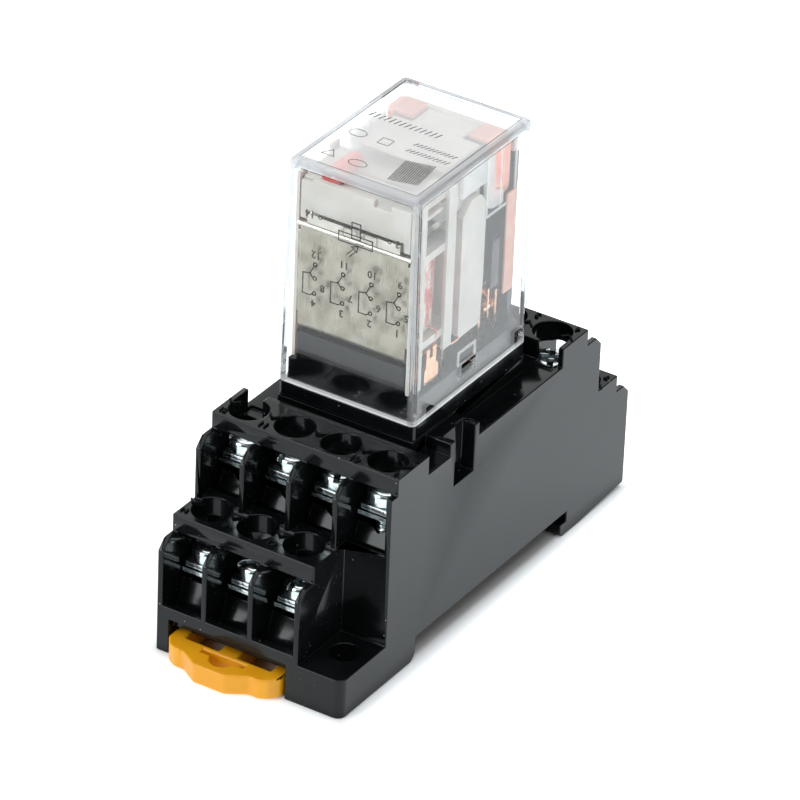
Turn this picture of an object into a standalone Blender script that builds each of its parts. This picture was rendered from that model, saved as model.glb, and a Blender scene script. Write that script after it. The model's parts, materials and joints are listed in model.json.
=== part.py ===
"""Plug-in industrial control relay standing in a 14-terminal DIN rail socket.

All sizes are in millimetres and are turned into metres by MM.  Points are given in the
socket's own frame: X across the socket, Y along it, Z up from its mounting face, with the
origin in the middle of that face.  The near end (negative Y) carries the rail hook.
"""
import math

import bmesh
import bpy
from mathutils import Matrix, Vector

MM = 0.001
GAP = 0.3                       # clearance between neighbouring pieces
OVERLAP = 0.4                   # how far joined volumes run into each other

# ---- Socket housing -------------------------------------------------------------------
SOCKET_WIDTH = 29.5
SOCKET_LENGTH = 72.0
HALF_WIDTH = SOCKET_WIDTH / 2
HALF_LENGTH = SOCKET_LENGTH / 2
SIDE_WALL = 0.85
BARRIER = 0.8
COLUMN_PITCH = 7.33
COLUMNS = (-1.5, -0.5, 0.5, 1.5)

# Heights of the two terminal tiers, and distances measured inwards from an end face.
TERRACE_TOP = 31.3
TERRACE_FRONT = 12.1
TERRACE_BACK = 19.7
FAR_TERRACE_BACK = 18.65
BARRIER_TOP = 28.8
BARRIER_FRONT = 8.4
LOWER_TERRACE_TOP = 19.7
LOWER_TERRACE_FRONT = 3.3
LOWER_BARRIER_TOP = 17.1
CHAMFER = 1.4
DECK_TOP = 28.4
WELL_RADIUS = 2.75
WELL_SEGMENTS = 36
UPPER_WELL_INSET = 15.4
LOWER_WELL_INSET = 7.1
UPPER_WELL_FLOOR = 27.5
LOWER_WELL_FLOOR = 16.0
SHANK_HOLE_RADIUS = 1.8
UPPER_SHANK_HOLE = (19.2, 22.2) # bottom and top of the hole below each pocket floor
LOWER_SHANK_HOLE = (6.4, 9.8)
UPPER_CLAMP_TOP = 25.3
LOWER_CLAMP_TOP = 12.3
CLAMP_THICKNESS = 1.0
POCKET_BACK = 18.6
POCKET_CEILING = 28.1
ABOVE_ALL = 33.0                # a height that clears the whole socket
ABOVE_LOWER = 21.0              # a height that clears the lower tier

# Side views of the wire pockets, as distances from the end face and heights.
UPPER_POCKET = (
    (6.0, 20.0), (11.2, 20.0), (11.2, 17.2), (12.7, 17.2), (12.7, 19.3), (13.9, 21.6),
    (POCKET_BACK, 21.6), (POCKET_BACK, POCKET_CEILING), (TERRACE_FRONT + 0.9, POCKET_CEILING),
    (TERRACE_FRONT, BARRIER_TOP), (TERRACE_FRONT, ABOVE_ALL), (6.0, ABOVE_ALL),
)
LOWER_POCKET = (
    (-2.0, 7.2), (0.8, 7.2), (0.8, 5.3), (3.4, 5.3), (5.0, 9.2), (10.2, 9.2),
    (10.2, LOWER_BARRIER_TOP), (LOWER_TERRACE_FRONT, LOWER_BARRIER_TOP),
    (LOWER_TERRACE_FRONT, ABOVE_LOWER), (-2.0, ABOVE_LOWER),
)

# Foot, rail channel and mounting holes.
RAIL_SEAT_Z = 3.6
NEAR_FOOT_EDGE = -17.8
FAR_LIP_EDGE = 19.2
FAR_UNDERCUT = 20.7
LIP_HEIGHT = 2.1
LIP_LENGTH = 5.0
LIP_RADIUS = 0.8
FOOT_RADIUS = 1.5
FAR_FOOT_RISE = 0.8
RECESS_EDGE_X = 7.75
RECESS_DEPTH = 10.6
RECESS_FLOOR = 6.0
MOUNT_HOLE_RADIUS = 2.15
MOUNT_HOLE_X = 11.0
MOUNT_HOLE_Y = 29.5
END_CORNER_RADIUS = 1.3
CORNER_NOTCH_BACK = 20.5        # the corner well's way out onto the deck
CORNER_NOTCH_FLOOR = 27.9

# Cavity for the contacts, and the plate that closes it.
CAVITY_HALF_X = 11.6
CAVITY_HALF_Y = 15.5
CAVITY_TOP = 27.0
CAVITY_BOTTOM = 2.0
PLATE_HALF_X = 12.9
PLATE_HALF_Y = 16.9
PLATE_BOTTOM = RAIL_SEAT_Z
PLATE_TOP = 5.2
PASSAGE_MARGIN = 0.4            # room around a strip where it enters the cavity
PASSAGE_DROP = 1.2
PASSAGE_SHIFT = 0.8             # how far the outer columns' strips step inwards
UPPER_PASSAGE_INSET = 18.4
LOWER_PASSAGE_INSET = 9.6

# Relay seat and clip seats.
RELAY_Y = -0.2                  # middle of the relay along the socket
SEAT_TOP = 30.6
SEAT_ROOM_X = 10.0              # room under the seat for the tops of the springs
SEAT_ROOM_Y = 13.0
SEAT_SKIN = 1.3
CLIP_SLOT_FLOOR = 23.3
CLIP_SLOT_X = 12.7
CLIP_SLOT_INSETS = (26.2, 31.1)
CLIP_SEAT_TOP = 30.4
CLIP_SEAT_INSETS = (25.0, 32.2)

# ---- DIN rail hook --------------------------------------------------------------------
HOOK_REACH = 4.2                # how far the grip stands out of the near end
HOOK_X = -3.5
HOOK_HALF = 8.93
HOOK_BOTTOM = 0.3
HOOK_TOP = 3.3
HOOK_OPENING_HALF = 9.3
HOOK_CEILING = 3.8
HOOK_MOUTH_TOP = 5.35
HOOK_MOUTH_DEPTH = 1.2
RIB_REACH = 0.8
RIB_LENGTH = (7.2, 16.0)        # from the near end face
RIB_BOTTOM = 1.4
RIB_TOP = 2.2
CATCH_HALF = 5.5
CATCH_REACH = 4.6               # how far the catch stands past the foot's edge
SLOT_LEFT = -3.4
SLOT_RIGHT = 3.5
SLOT_FRONT = -1.15
SLOT_BACK = -0.35
PRY_RADIUS = 1.75
HOOK_WINDOW = (1.5, 6.8, 0.4, 6.2)  # inner and outer X from the middle, near and far Y
HOOK_GRIP = ((2.45, -4.2), (5.3, -2.4), (6.6, -2.55), (7.9, -1.8), (HOOK_HALF, -0.4))
HOOK_GRIP_RADII = (1.2, 1.2, 1.5, 1.5, 0.8)
HOOK_PLATE_END = -0.6           # the plate stops this far short of the foot's edge

# ---- Terminal screws ------------------------------------------------------------------
SCREW_HEAD_RADIUS = 2.6
SCREW_HEAD_HEIGHT = 2.1
SHANK_RADIUS = 1.4
SHANK_LENGTH = 5.2
STRIP_THICKNESS = 0.6
STRIP_WIDTH = 2.2
PAD_WIDTH = 5.4
PAD_LENGTH = 5.4
SCREW_DOME = 0.7
SCREW_FLAT = 0.65               # share of the head's radius that stays flat
STRIP_DROP = 3.2                # how far the upper strips step down inside the cavity
LEG_OFFSET = 2.0                # from a blade to its strip's leg and to its spring leaf
LEAF_OFFSET = 0.8
LEAF_LENGTH = 6.0

# ---- Relay ----------------------------------------------------------------------------
RELAY_WIDTH = 21.5
RELAY_LENGTH = 28.0
COVER_BOTTOM = 33.0
COVER_TOP = 67.1
COVER_WALL = 0.8
COVER_DRAFT_X = 0.56            # how far each side leans in from bottom to top
COVER_DRAFT_Y = 0.05
BASE_BOTTOM = 30.9
BASE_STEP = 36.4
BASE_FRONT_TOP = 41.0
BASE_FRONT_THICKNESS = 2.1
COVER_ROOF = 1.0
COVER_ROUNDING = 0.7
INNER_ROUNDING = 0.3
BASE_ROUNDING = 0.6
LATCH_WINDOW = (-2.3, 1.2, 34.9, 37.1)  # near Y, far Y, bottom, top
LATCH_BOSS = (-1.9, 0.8, 35.3, 36.0)
LATCH_INSET = 0.4
PIN_TIP = 24.6
PIN_THICKNESS = 0.5
PIN_WIDTH = 2.4
PIN_COLUMNS = (-6.6, -2.2, 2.2, 6.6)
COIL_ROW = -9.75
COMMON_ROW = -3.4
OPEN_ROW = 5.65
CLOSED_ROW = 9.75
COIL_BLADE_TOP = 40.2
COMMON_BLADE_TOP = 39.4

COIL_Y = -7.3
COIL_RADIUS = 4.3
COIL_HALF = 7.6                 # the winding is an oval, wide across the relay
CORE_RADIUS = 2.2
TUBE_RADIUS = 3.0
FLANGE_LOW = 42.6
FLANGE_HIGH = 56.8
FLANGE_THICKNESS = 1.1
FRONT_POST = (0.0, 2.0, 37.0, 64.8)     # near Y, far Y, bottom, top
BACK_POST = (1.7, 3.6, 40.6, 65.0)
POST_THICKNESS = 0.45
POST_INSET = 0.15
YOKE_FRONT = -12.9
YOKE_THICKNESS = 1.0
YOKE_HALF = 8.4
YOKE_BOTTOM = 41.3
YOKE_TOP = 57.6
ARMATURE_BOTTOM = 58.0
ARMATURE_THICKNESS = 1.1
ARMATURE_PIVOT = (-12.4, 57.8)  # Y and Z of the knife edge
ARMATURE_HALF = 7.0
ARMATURE_END = 2.4
CORE_GAP = 0.55
BLOCK_HALF = 7.9
BLOCK_BOTTOM = 41.0
BLOCK_TOP = 62.4
BLOCK_NEAR = -5.4
BLOCK_BACK = 4.0
BLOCK_FACE = -1.7
SHIELD = ((-1.5, 40.2), (3.9, 40.2), (4.3, 47.0), (4.3, 58.5), (2.9, 60.4), (0.4, 60.4),
          (-1.5, 58.5))
SHIELD_INNER = 7.4
SHIELD_OUTER = 8.9
SPRING_WIDTH = 4.0
SPRING_THICKNESS = 0.25
SPRING_BOTTOM = 48.5
MOVING_SPRING_Y = 8.15
MOVING_SPRING_WIDTH = 2.0
MOVING_SPRING_Z = 46.2
MOVING_SPRING_THICKNESS = 0.35
CONTACT_Z = 39.8
RIVET_RADIUS = 0.95
RIVET_HEIGHT = 0.4

FRAME_HALF = 8.6
FRAME_NEAR = 11.4
FRAME_FAR = 12.6
FRAME_TOP = 62.5
SHELF_NEAR = 6.6
SHELF_BOTTOM = 50.6
SHELF_TOP = 51.6
ARM_BOTTOM = 44.0
ARM_HALF = 0.4
LAMP_X = -5.0
LAMP_Z = 64.1
LAMP_NEAR = -11.6
LAMP_FAR = -6.0
LAMP_RADIUS = 1.25


# ---- Modelling helpers ----------------------------------------------------------------
def clear_scene():
    """Remove every object that the start-up scene holds."""
    for item in list(bpy.data.objects):
        bpy.data.objects.remove(item, do_unlink=True)


def make_collection(name):
    """Return a new collection linked to the scene."""
    collection = bpy.data.collections.new(name)
    bpy.context.scene.collection.children.link(collection)
    return collection


def make_material(name, colour, roughness, metallic=0.0, alpha=1.0):
    """Return a Principled material."""
    material = bpy.data.materials.new(name)
    material.use_nodes = True
    shader = material.node_tree.nodes["Principled BSDF"]
    shader.inputs["Base Color"].default_value = (*colour, 1.0)
    shader.inputs["Roughness"].default_value = roughness
    shader.inputs["Metallic"].default_value = metallic
    shader.inputs["Alpha"].default_value = alpha
    return material


def mesh_from_bmesh(name, work):
    """Store a bmesh as a mesh, with its faces pointing outwards."""
    bmesh.ops.recalc_face_normals(work, faces=work.faces)
    mesh = bpy.data.meshes.new(name)
    work.to_mesh(mesh)
    work.free()
    return mesh


def box_mesh(low, high):
    """Return a box between two corners given in millimetres."""
    low, high = Vector(low) * MM, Vector(high) * MM
    work = bmesh.new()
    size = Matrix.Diagonal((*(high - low), 1.0))
    bmesh.ops.create_cube(work, size=1.0, matrix=Matrix.Translation((low + high) / 2) @ size)
    return mesh_from_bmesh("box", work)


def cylinder_mesh(x, y, low, high, radius, segments=24):
    """Return an upright cylinder between two heights."""
    work = bmesh.new()
    bmesh.ops.create_cone(work, cap_ends=True, segments=segments, radius1=radius * MM,
                          radius2=radius * MM, depth=(high - low) * MM,
                          matrix=Matrix.Translation(Vector((x, y, (low + high) / 2)) * MM))
    return mesh_from_bmesh("cylinder", work)


def lying_cylinder_mesh(x, z, low, high, radius, segments=16):
    """Return a cylinder along Y between two positions."""
    work = bmesh.new()
    turn = Matrix.Rotation(math.pi / 2, 4, "X")
    place = Matrix.Translation(Vector((x, (low + high) / 2, z)) * MM)
    bmesh.ops.create_cone(work, cap_ends=True, segments=segments, radius1=radius * MM,
                          radius2=radius * MM, depth=(high - low) * MM, matrix=place @ turn)
    return mesh_from_bmesh("cylinder", work)


# A flat outline lies in XY.  These turns stand it up so that it is extruded along X or Z.
ALONG_X = Matrix(((0, 0, 1, 0), (1, 0, 0, 0), (0, 1, 0, 0), (0, 0, 0, 1)))
ALONG_Z = Matrix.Identity(4)


def outline_mesh(points, start, end, direction):
    """Extrude a flat outline from start to end, along X (points are Y, Z) or Z (X, Y)."""
    curve = bpy.data.curves.new("outline", "CURVE")
    curve.dimensions = "2D"
    curve.fill_mode = "BOTH"
    curve.extrude = (end - start) / 2 * MM
    spline = curve.splines.new("POLY")
    spline.points.add(len(points) - 1)
    for point, (across, up) in zip(spline.points, points):
        point.co = (across * MM, up * MM, 0.0, 1.0)
    spline.use_cyclic_u = True
    holder = bpy.data.objects.new("outline", curve)
    bpy.context.scene.collection.objects.link(holder)
    evaluated = holder.evaluated_get(bpy.context.evaluated_depsgraph_get())
    mesh = bpy.data.meshes.new_from_object(evaluated)
    bpy.data.objects.remove(holder, do_unlink=True)
    shift = Matrix.Translation((0.0, 0.0, (start + end) / 2 * MM))
    mesh.transform(direction @ shift)
    work = bmesh.new()
    work.from_mesh(mesh)
    bmesh.ops.remove_doubles(work, verts=work.verts, dist=1e-6)
    bmesh.ops.dissolve_limit(work, angle_limit=0.002, verts=work.verts, edges=work.edges)
    return mesh_from_bmesh("outline", work)


def rounded(points, radii, steps=5):
    """Round chosen corners of an outline: radii maps a corner's index to its radius."""
    result = []
    count = len(points)
    for index, point in enumerate(points):
        if index not in radii:
            result.append(point)
            continue
        corner = Vector(point)
        before = (Vector(points[index - 1]) - corner).normalized()
        after = (Vector(points[(index + 1) % count]) - corner).normalized()
        half_angle = before.angle(after) / 2
        reach = radii[index] / math.tan(half_angle)
        centre = corner + (before + after).normalized() * radii[index] / math.sin(half_angle)
        first = corner + before * reach - centre
        last = corner + after * reach - centre
        turn = first.angle_signed(last)
        for step in range(steps + 1):
            swing = Matrix.Rotation(-turn * step / steps, 2)
            result.append(tuple(centre + swing @ first))
    return result


def ribbon_mesh(stations):
    """Return the middle surface of a bent ribbon: its stations are X, Y, Z and width."""
    work = bmesh.new()
    rails = []
    for x, y, z, width in stations:
        pair = [work.verts.new(Vector((x + side * width / 2, y, z)) * MM) for side in (-1, 1)]
        rails.append(pair)
    for (left, right), (next_left, next_right) in zip(rails, rails[1:]):
        work.faces.new((left, right, next_right, next_left))
    return mesh_from_bmesh("ribbon", work)


def thicken(item, thickness):
    """Give a ribbon its thickness, half on each side of its middle surface."""
    modifier = item.modifiers.new("thickness", "SOLIDIFY")
    modifier.thickness = thickness * MM
    modifier.offset = 0.0
    modifier.use_even_offset = True


def joined_mesh(pieces):
    """Put separate closed meshes into one mesh, for a cutter that cuts in many places."""
    work = bmesh.new()
    for piece in pieces:
        work.from_mesh(piece)
    return mesh_from_bmesh("joined", work)


def turned_half(mesh):
    """Return a copy of a mesh turned half a turn about the socket's upright axis."""
    copy = mesh.copy()
    copy.transform(Matrix.Rotation(math.pi, 4, "Z"))
    return copy


def from_end(inset):
    """Return the Y of a place at the near end, from its distance to the end face."""
    return inset - HALF_LENGTH


class Workshop:
    """Collections, materials and the parent empties that every piece is hung on."""

    def __init__(self):
        self.parts = make_collection("control_relay")
        self.cutters = make_collection("cutters")
        self.socket = self.empty("socket_frame", (0, HOOK_REACH / 2, 0))
        self.hook = self.empty("hook_slide", (HOOK_X, -HALF_LENGTH, HOOK_BOTTOM), self.socket)
        self.relay = self.empty("relay_slide", (0, RELAY_Y, BASE_BOTTOM), self.socket)
        pivot_y, pivot_z = ARMATURE_PIVOT
        pivot = (0, pivot_y, pivot_z - BASE_BOTTOM)
        self.armature = self.empty("armature_pivot", pivot, self.relay)
        self.black = make_material("black_plastic", (0.018, 0.02, 0.022), 0.35)
        self.yellow = make_material("yellow_plastic", (0.9, 0.43, 0.02), 0.42)
        self.zinc = make_material("zinc_plate", (0.78, 0.82, 0.82), 0.22, 1.0)
        self.clear = make_material("clear_cover", (0.93, 0.95, 0.96), 0.05, 0.0, 0.3)
        self.cream = make_material("cream_plastic", (0.86, 0.83, 0.77), 0.45)
        self.copper = make_material("copper_alloy", (0.85, 0.5, 0.32), 0.28, 1.0)
        self.wire = make_material("enamelled_wire", (0.62, 0.12, 0.08), 0.3, 0.4)
        self.steel = make_material("yoke_steel", (0.62, 0.62, 0.6), 0.38, 1.0)
        self.red = make_material("red_lamp", (0.85, 0.05, 0.03), 0.2)

    def empty(self, name, place, parent=None):
        """Make an empty at a place in its parent's frame."""
        item = bpy.data.objects.new(name, None)
        item.location = Vector(place) * MM
        item.parent = parent
        item.empty_display_size = 4 * MM
        self.parts.objects.link(item)
        return item

    def part(self, name, mesh, material, parent=None, origin=(0, 0, 0)):
        """Add a piece whose mesh is in the socket's frame, with its origin where given."""
        parent = parent or self.socket
        mesh.name = name
        mesh.materials.clear()
        mesh.materials.append(material)
        bpy.context.view_layer.update()
        origin = Vector(origin) * MM
        to_parent = parent.matrix_world.inverted() @ self.socket.matrix_world
        mesh.transform(Matrix.Translation(-origin))
        mesh.shade_smooth()
        mesh.set_sharp_from_angle(angle=math.radians(32))
        item = bpy.data.objects.new(name, mesh)
        item.parent = parent
        item.location = to_parent @ origin
        self.parts.objects.link(item)
        return item

    def tool(self, target, mesh, operation):
        """Cut a mesh given in the socket's frame from a piece, or join it to the piece."""
        item = bpy.data.objects.new(f"{target.name}_{operation.lower()}", mesh)
        item.parent = self.socket
        item.hide_render = True
        item.display_type = "WIRE"
        self.cutters.objects.link(item)
        modifier = target.modifiers.new(operation.lower(), "BOOLEAN")
        modifier.object = item
        modifier.operation = operation
        modifier.solver = "EXACT"
        return item

    def cut(self, target, mesh):
        return self.tool(target, mesh, "DIFFERENCE")

    def join(self, target, mesh):
        return self.tool(target, mesh, "UNION")


# ---- Socket housing -------------------------------------------------------------------
def column_x(column):
    """Return the middle of a terminal column, 0 to 3 from -X to +X."""
    return COLUMNS[column] * COLUMN_PITCH


def column_walls(column):
    """Return the inner faces of the walls on both sides of a terminal column."""
    left = (column - 2) * COLUMN_PITCH + BARRIER / 2
    right = (column - 1) * COLUMN_PITCH - BARRIER / 2
    if column == 0:
        left = SIDE_WALL - HALF_WIDTH
    if column == 3:
        right = HALF_WIDTH - SIDE_WALL
    return left, right


def stair_outline(terrace_back):
    """Return one half's stepped top as distances from the end face and heights."""
    return [
        (0.0, LOWER_BARRIER_TOP - CHAMFER), (CHAMFER, LOWER_BARRIER_TOP),
        (LOWER_TERRACE_FRONT, LOWER_BARRIER_TOP), (LOWER_TERRACE_FRONT, LOWER_TERRACE_TOP),
        (BARRIER_FRONT, LOWER_TERRACE_TOP), (BARRIER_FRONT, BARRIER_TOP - CHAMFER),
        (BARRIER_FRONT + CHAMFER, BARRIER_TOP), (TERRACE_FRONT, BARRIER_TOP),
        (TERRACE_FRONT, TERRACE_TOP), (terrace_back, TERRACE_TOP), (terrace_back, DECK_TOP),
    ]


def housing_outline():
    """Return the housing's side view as Y, Z points, from the near foot round to it."""
    near = [(from_end(inset), height) for inset, height in stair_outline(TERRACE_BACK)]
    far = [(-from_end(inset), height) for inset, height in stair_outline(FAR_TERRACE_BACK)]
    far.reverse()
    foot = [
        (HALF_LENGTH, FAR_FOOT_RISE), (FAR_LIP_EDGE + LIP_LENGTH, 0.0), (FAR_LIP_EDGE, 0.0),
        (FAR_LIP_EDGE, LIP_HEIGHT), (FAR_UNDERCUT, LIP_HEIGHT), (FAR_UNDERCUT, RAIL_SEAT_Z),
        (NEAR_FOOT_EDGE, RAIL_SEAT_Z), (NEAR_FOOT_EDGE, 0.0), (-HALF_LENGTH, 0.0),
    ]
    outline = near + far + foot
    lip_corner = len(near + far) + 2
    foot_corner = len(outline) - 2
    return rounded(outline, {lip_corner: LIP_RADIUS, foot_corner: FOOT_RADIUS})


def pocket_meshes():
    """Return the cutters of one end's seven wire pockets."""
    meshes = []
    for column in range(4):
        left, right = column_walls(column)
        outline = [(from_end(d), z) for d, z in UPPER_POCKET]
        meshes.append(outline_mesh(outline, left, right, ALONG_X))
        if column < 3:
            outline = [(from_end(d), z) for d, z in LOWER_POCKET]
            meshes.append(outline_mesh(outline, left, right, ALONG_X))
    return meshes


def well_meshes():
    """Return the cutters of one end's screwdriver wells and the screws' clearance holes."""
    wells, holes = [], []
    for column in range(4):
        x = column_x(column)
        y = from_end(UPPER_WELL_INSET)
        wells.append(cylinder_mesh(x, y, UPPER_WELL_FLOOR, ABOVE_ALL, WELL_RADIUS,
                                   WELL_SEGMENTS))
        holes.append(cylinder_mesh(x, y, *UPPER_SHANK_HOLE, SHANK_HOLE_RADIUS, 12))
        if column < 3:
            y = from_end(LOWER_WELL_INSET)
            wells.append(cylinder_mesh(x, y, LOWER_WELL_FLOOR, ABOVE_LOWER,
                                       WELL_RADIUS, WELL_SEGMENTS))
            holes.append(cylinder_mesh(x, y, *LOWER_SHANK_HOLE, SHANK_HOLE_RADIUS, 12))
    return wells, holes


def strip_passages():
    """Return the cutters through which one end's strips reach the contact cavity."""
    meshes = []
    half = STRIP_WIDTH / 2 + PASSAGE_MARGIN
    inner = -CAVITY_HALF_Y + 1.0
    for column in range(4):
        x = column_x(column)
        if column in (0, 3):
            x -= math.copysign(PASSAGE_SHIFT, x)
        level = UPPER_CLAMP_TOP - CLAMP_THICKNESS
        meshes.append(box_mesh((x - half, from_end(UPPER_PASSAGE_INSET), level - PASSAGE_DROP),
                               (x + half, inner, level + PASSAGE_MARGIN)))
        if column < 3:
            level = LOWER_CLAMP_TOP - CLAMP_THICKNESS
            front = from_end(LOWER_PASSAGE_INSET)
            meshes.append(box_mesh((x - half, front, level - PASSAGE_DROP),
                                   (x + half, inner, level + PASSAGE_MARGIN)))
    return meshes


def socket_cavity_meshes():
    """Return the cutters of the contact cavity, its plate's rebate and the blade slots."""
    cavity = box_mesh((-CAVITY_HALF_X, -CAVITY_HALF_Y, CAVITY_BOTTOM),
                      (CAVITY_HALF_X, CAVITY_HALF_Y, CAVITY_TOP))
    rebate = box_mesh((-PLATE_HALF_X - GAP, -PLATE_HALF_Y - GAP, 1.0),
                      (PLATE_HALF_X + GAP, PLATE_HALF_Y + GAP, PLATE_TOP + GAP))
    seat_room = box_mesh((-SEAT_ROOM_X, RELAY_Y - SEAT_ROOM_Y, CAVITY_TOP - 1.0),
                         (SEAT_ROOM_X, RELAY_Y + SEAT_ROOM_Y, SEAT_TOP - SEAT_SKIN))
    slots = [box_mesh((x - PIN_WIDTH / 2 - GAP, y - PIN_THICKNESS / 2 - GAP, SEAT_TOP - 2.0),
                      (x + PIN_WIDTH / 2 + GAP, y + PIN_THICKNESS / 2 + GAP, SEAT_TOP + 1.0))
             for x, y in pin_places()]
    return [cavity, rebate, seat_room, joined_mesh(slots)]


def pin_places():
    """Return X, Y of the relay's 14 blades in the socket's frame: coil, common, open, closed."""
    coil = [(x, RELAY_Y + COIL_ROW) for x in (PIN_COLUMNS[0], PIN_COLUMNS[3])]
    rows = (COMMON_ROW, OPEN_ROW, CLOSED_ROW)
    return coil + [(x, RELAY_Y + row) for row in rows for x in PIN_COLUMNS]


def foot_corner_mesh():
    """Return the cutter that rounds the upright outer edge of the near foot."""
    radius, margin = END_CORNER_RADIUS, 1.0
    centre_x, centre_y = HALF_WIDTH - radius, radius - HALF_LENGTH
    arc = []
    for step in range(7):
        angle = math.radians(-90 + 15 * step)
        arc.append((centre_x + radius * math.cos(angle), centre_y + radius * math.sin(angle)))
    outside = [(HALF_WIDTH + margin, centre_y), (HALF_WIDTH + margin, -HALF_LENGTH - margin),
               (centre_x, -HALF_LENGTH - margin)]
    return outline_mesh(arc + outside, -margin, RECESS_FLOOR + margin, ALONG_Z)


def build_housing(shop):
    """Make the moulded housing with its terraces, pockets, wells, recesses and channel."""
    mesh = outline_mesh(housing_outline(), -HALF_WIDTH, HALF_WIDTH, ALONG_X)
    housing = shop.part("socket_body", mesh, shop.black)

    # The relay's seat, and the two posts that a hold-down clip hooks behind.
    seat = box_mesh((-RELAY_WIDTH / 2, RELAY_Y - RELAY_LENGTH / 2, DECK_TOP - OVERLAP),
                    (RELAY_WIDTH / 2, RELAY_Y + RELAY_LENGTH / 2, SEAT_TOP))
    shop.join(housing, seat)
    near, far = map(from_end, CLIP_SEAT_INSETS)
    post = box_mesh((RELAY_WIDTH / 2 - OVERLAP, near, DECK_TOP - OVERLAP),
                    (HALF_WIDTH, far, CLIP_SEAT_TOP))
    shop.join(housing, joined_mesh([post, turned_half(post)]))
    near, far = map(from_end, CLIP_SLOT_INSETS)
    slot = box_mesh((CLIP_SLOT_X, near, CLIP_SLOT_FLOOR), (HALF_WIDTH + 1, far, ABOVE_ALL))
    shop.cut(housing, joined_mesh([slot, turned_half(slot)]))

    pockets = pocket_meshes()
    shop.cut(housing, joined_mesh(pockets + [turned_half(mesh) for mesh in pockets]))
    wells, holes = well_meshes()
    shop.cut(housing, joined_mesh(wells + [turned_half(mesh) for mesh in wells]))
    shop.cut(housing, joined_mesh(holes + [turned_half(mesh) for mesh in holes]))

    # The corner well opens onto the deck.
    notch = box_mesh((SIDE_WALL - HALF_WIDTH, from_end(UPPER_WELL_INSET + 0.6), CORNER_NOTCH_FLOOR),
                     (column_x(0) + GAP, from_end(CORNER_NOTCH_BACK), ABOVE_ALL))
    shop.cut(housing, joined_mesh([notch, turned_half(notch)]))

    # Corner recesses with the panel-mounting holes.
    recess = box_mesh((RECESS_EDGE_X, -HALF_LENGTH - 2, RECESS_FLOOR),
                      (HALF_WIDTH + 2, from_end(RECESS_DEPTH), ABOVE_ALL))
    shop.cut(housing, joined_mesh([recess, turned_half(recess)]))
    hole = cylinder_mesh(MOUNT_HOLE_X, -MOUNT_HOLE_Y, -1.0, RECESS_FLOOR + 1,
                         MOUNT_HOLE_RADIUS, 32)
    shop.cut(housing, joined_mesh([hole, turned_half(hole)]))

    for cavity in socket_cavity_meshes():
        shop.cut(housing, cavity)
    passages = strip_passages()
    shop.cut(housing, joined_mesh(passages + [turned_half(mesh) for mesh in passages]))

    # Channel of the rail hook, with side grooves that carry its ribs.
    low_x, high_x = HOOK_X - HOOK_OPENING_HALF, HOOK_X + HOOK_OPENING_HALF
    channel = box_mesh((low_x, -HALF_LENGTH - 2, -1.0),
                       (high_x, NEAR_FOOT_EDGE + 2, HOOK_CEILING))
    mouth = box_mesh((low_x, -HALF_LENGTH - 1, LIP_HEIGHT),
                     (high_x, -HALF_LENGTH + HOOK_MOUTH_DEPTH, HOOK_MOUTH_TOP))
    groove = box_mesh((low_x - RIB_REACH, -HALF_LENGTH + 3, RIB_BOTTOM - OVERLAP),
                      (high_x + RIB_REACH, NEAR_FOOT_EDGE + 2, RIB_TOP + OVERLAP))
    for mesh in (channel, mouth, groove):
        shop.cut(housing, mesh)

    corner = foot_corner_mesh()
    shop.cut(housing, joined_mesh([corner, turned_half(corner)]))


def build_back_plate(shop):
    """Make the plate that closes the contact cavity, flush with the rail seat."""
    mesh = box_mesh((-PLATE_HALF_X, -PLATE_HALF_Y, PLATE_BOTTOM),
                    (PLATE_HALF_X, PLATE_HALF_Y, PLATE_TOP))
    shop.part("socket_back_plate", mesh, shop.black)


# ---- Rail hook ------------------------------------------------------------------------
def grip_outline():
    """Return the hook's plan as X, Y points: a wavy grip in front of a straight plate."""
    back = HOOK_PLATE_END + HALF_LENGTH + NEAR_FOOT_EDGE
    right = [(HOOK_X + x, y - HALF_LENGTH) for x, y in HOOK_GRIP]
    left = [(HOOK_X - x, y - HALF_LENGTH) for x, y in reversed(HOOK_GRIP)]
    rear = [(HOOK_X + HOOK_HALF, back - HALF_LENGTH), (HOOK_X - HOOK_HALF, back - HALF_LENGTH)]
    outline = right + rear + left
    last = len(outline) - 1
    corners = dict(enumerate(HOOK_GRIP_RADII))
    corners.update({last - index: radius for index, radius in list(corners.items())})
    return rounded(outline, corners, steps=4)


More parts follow.
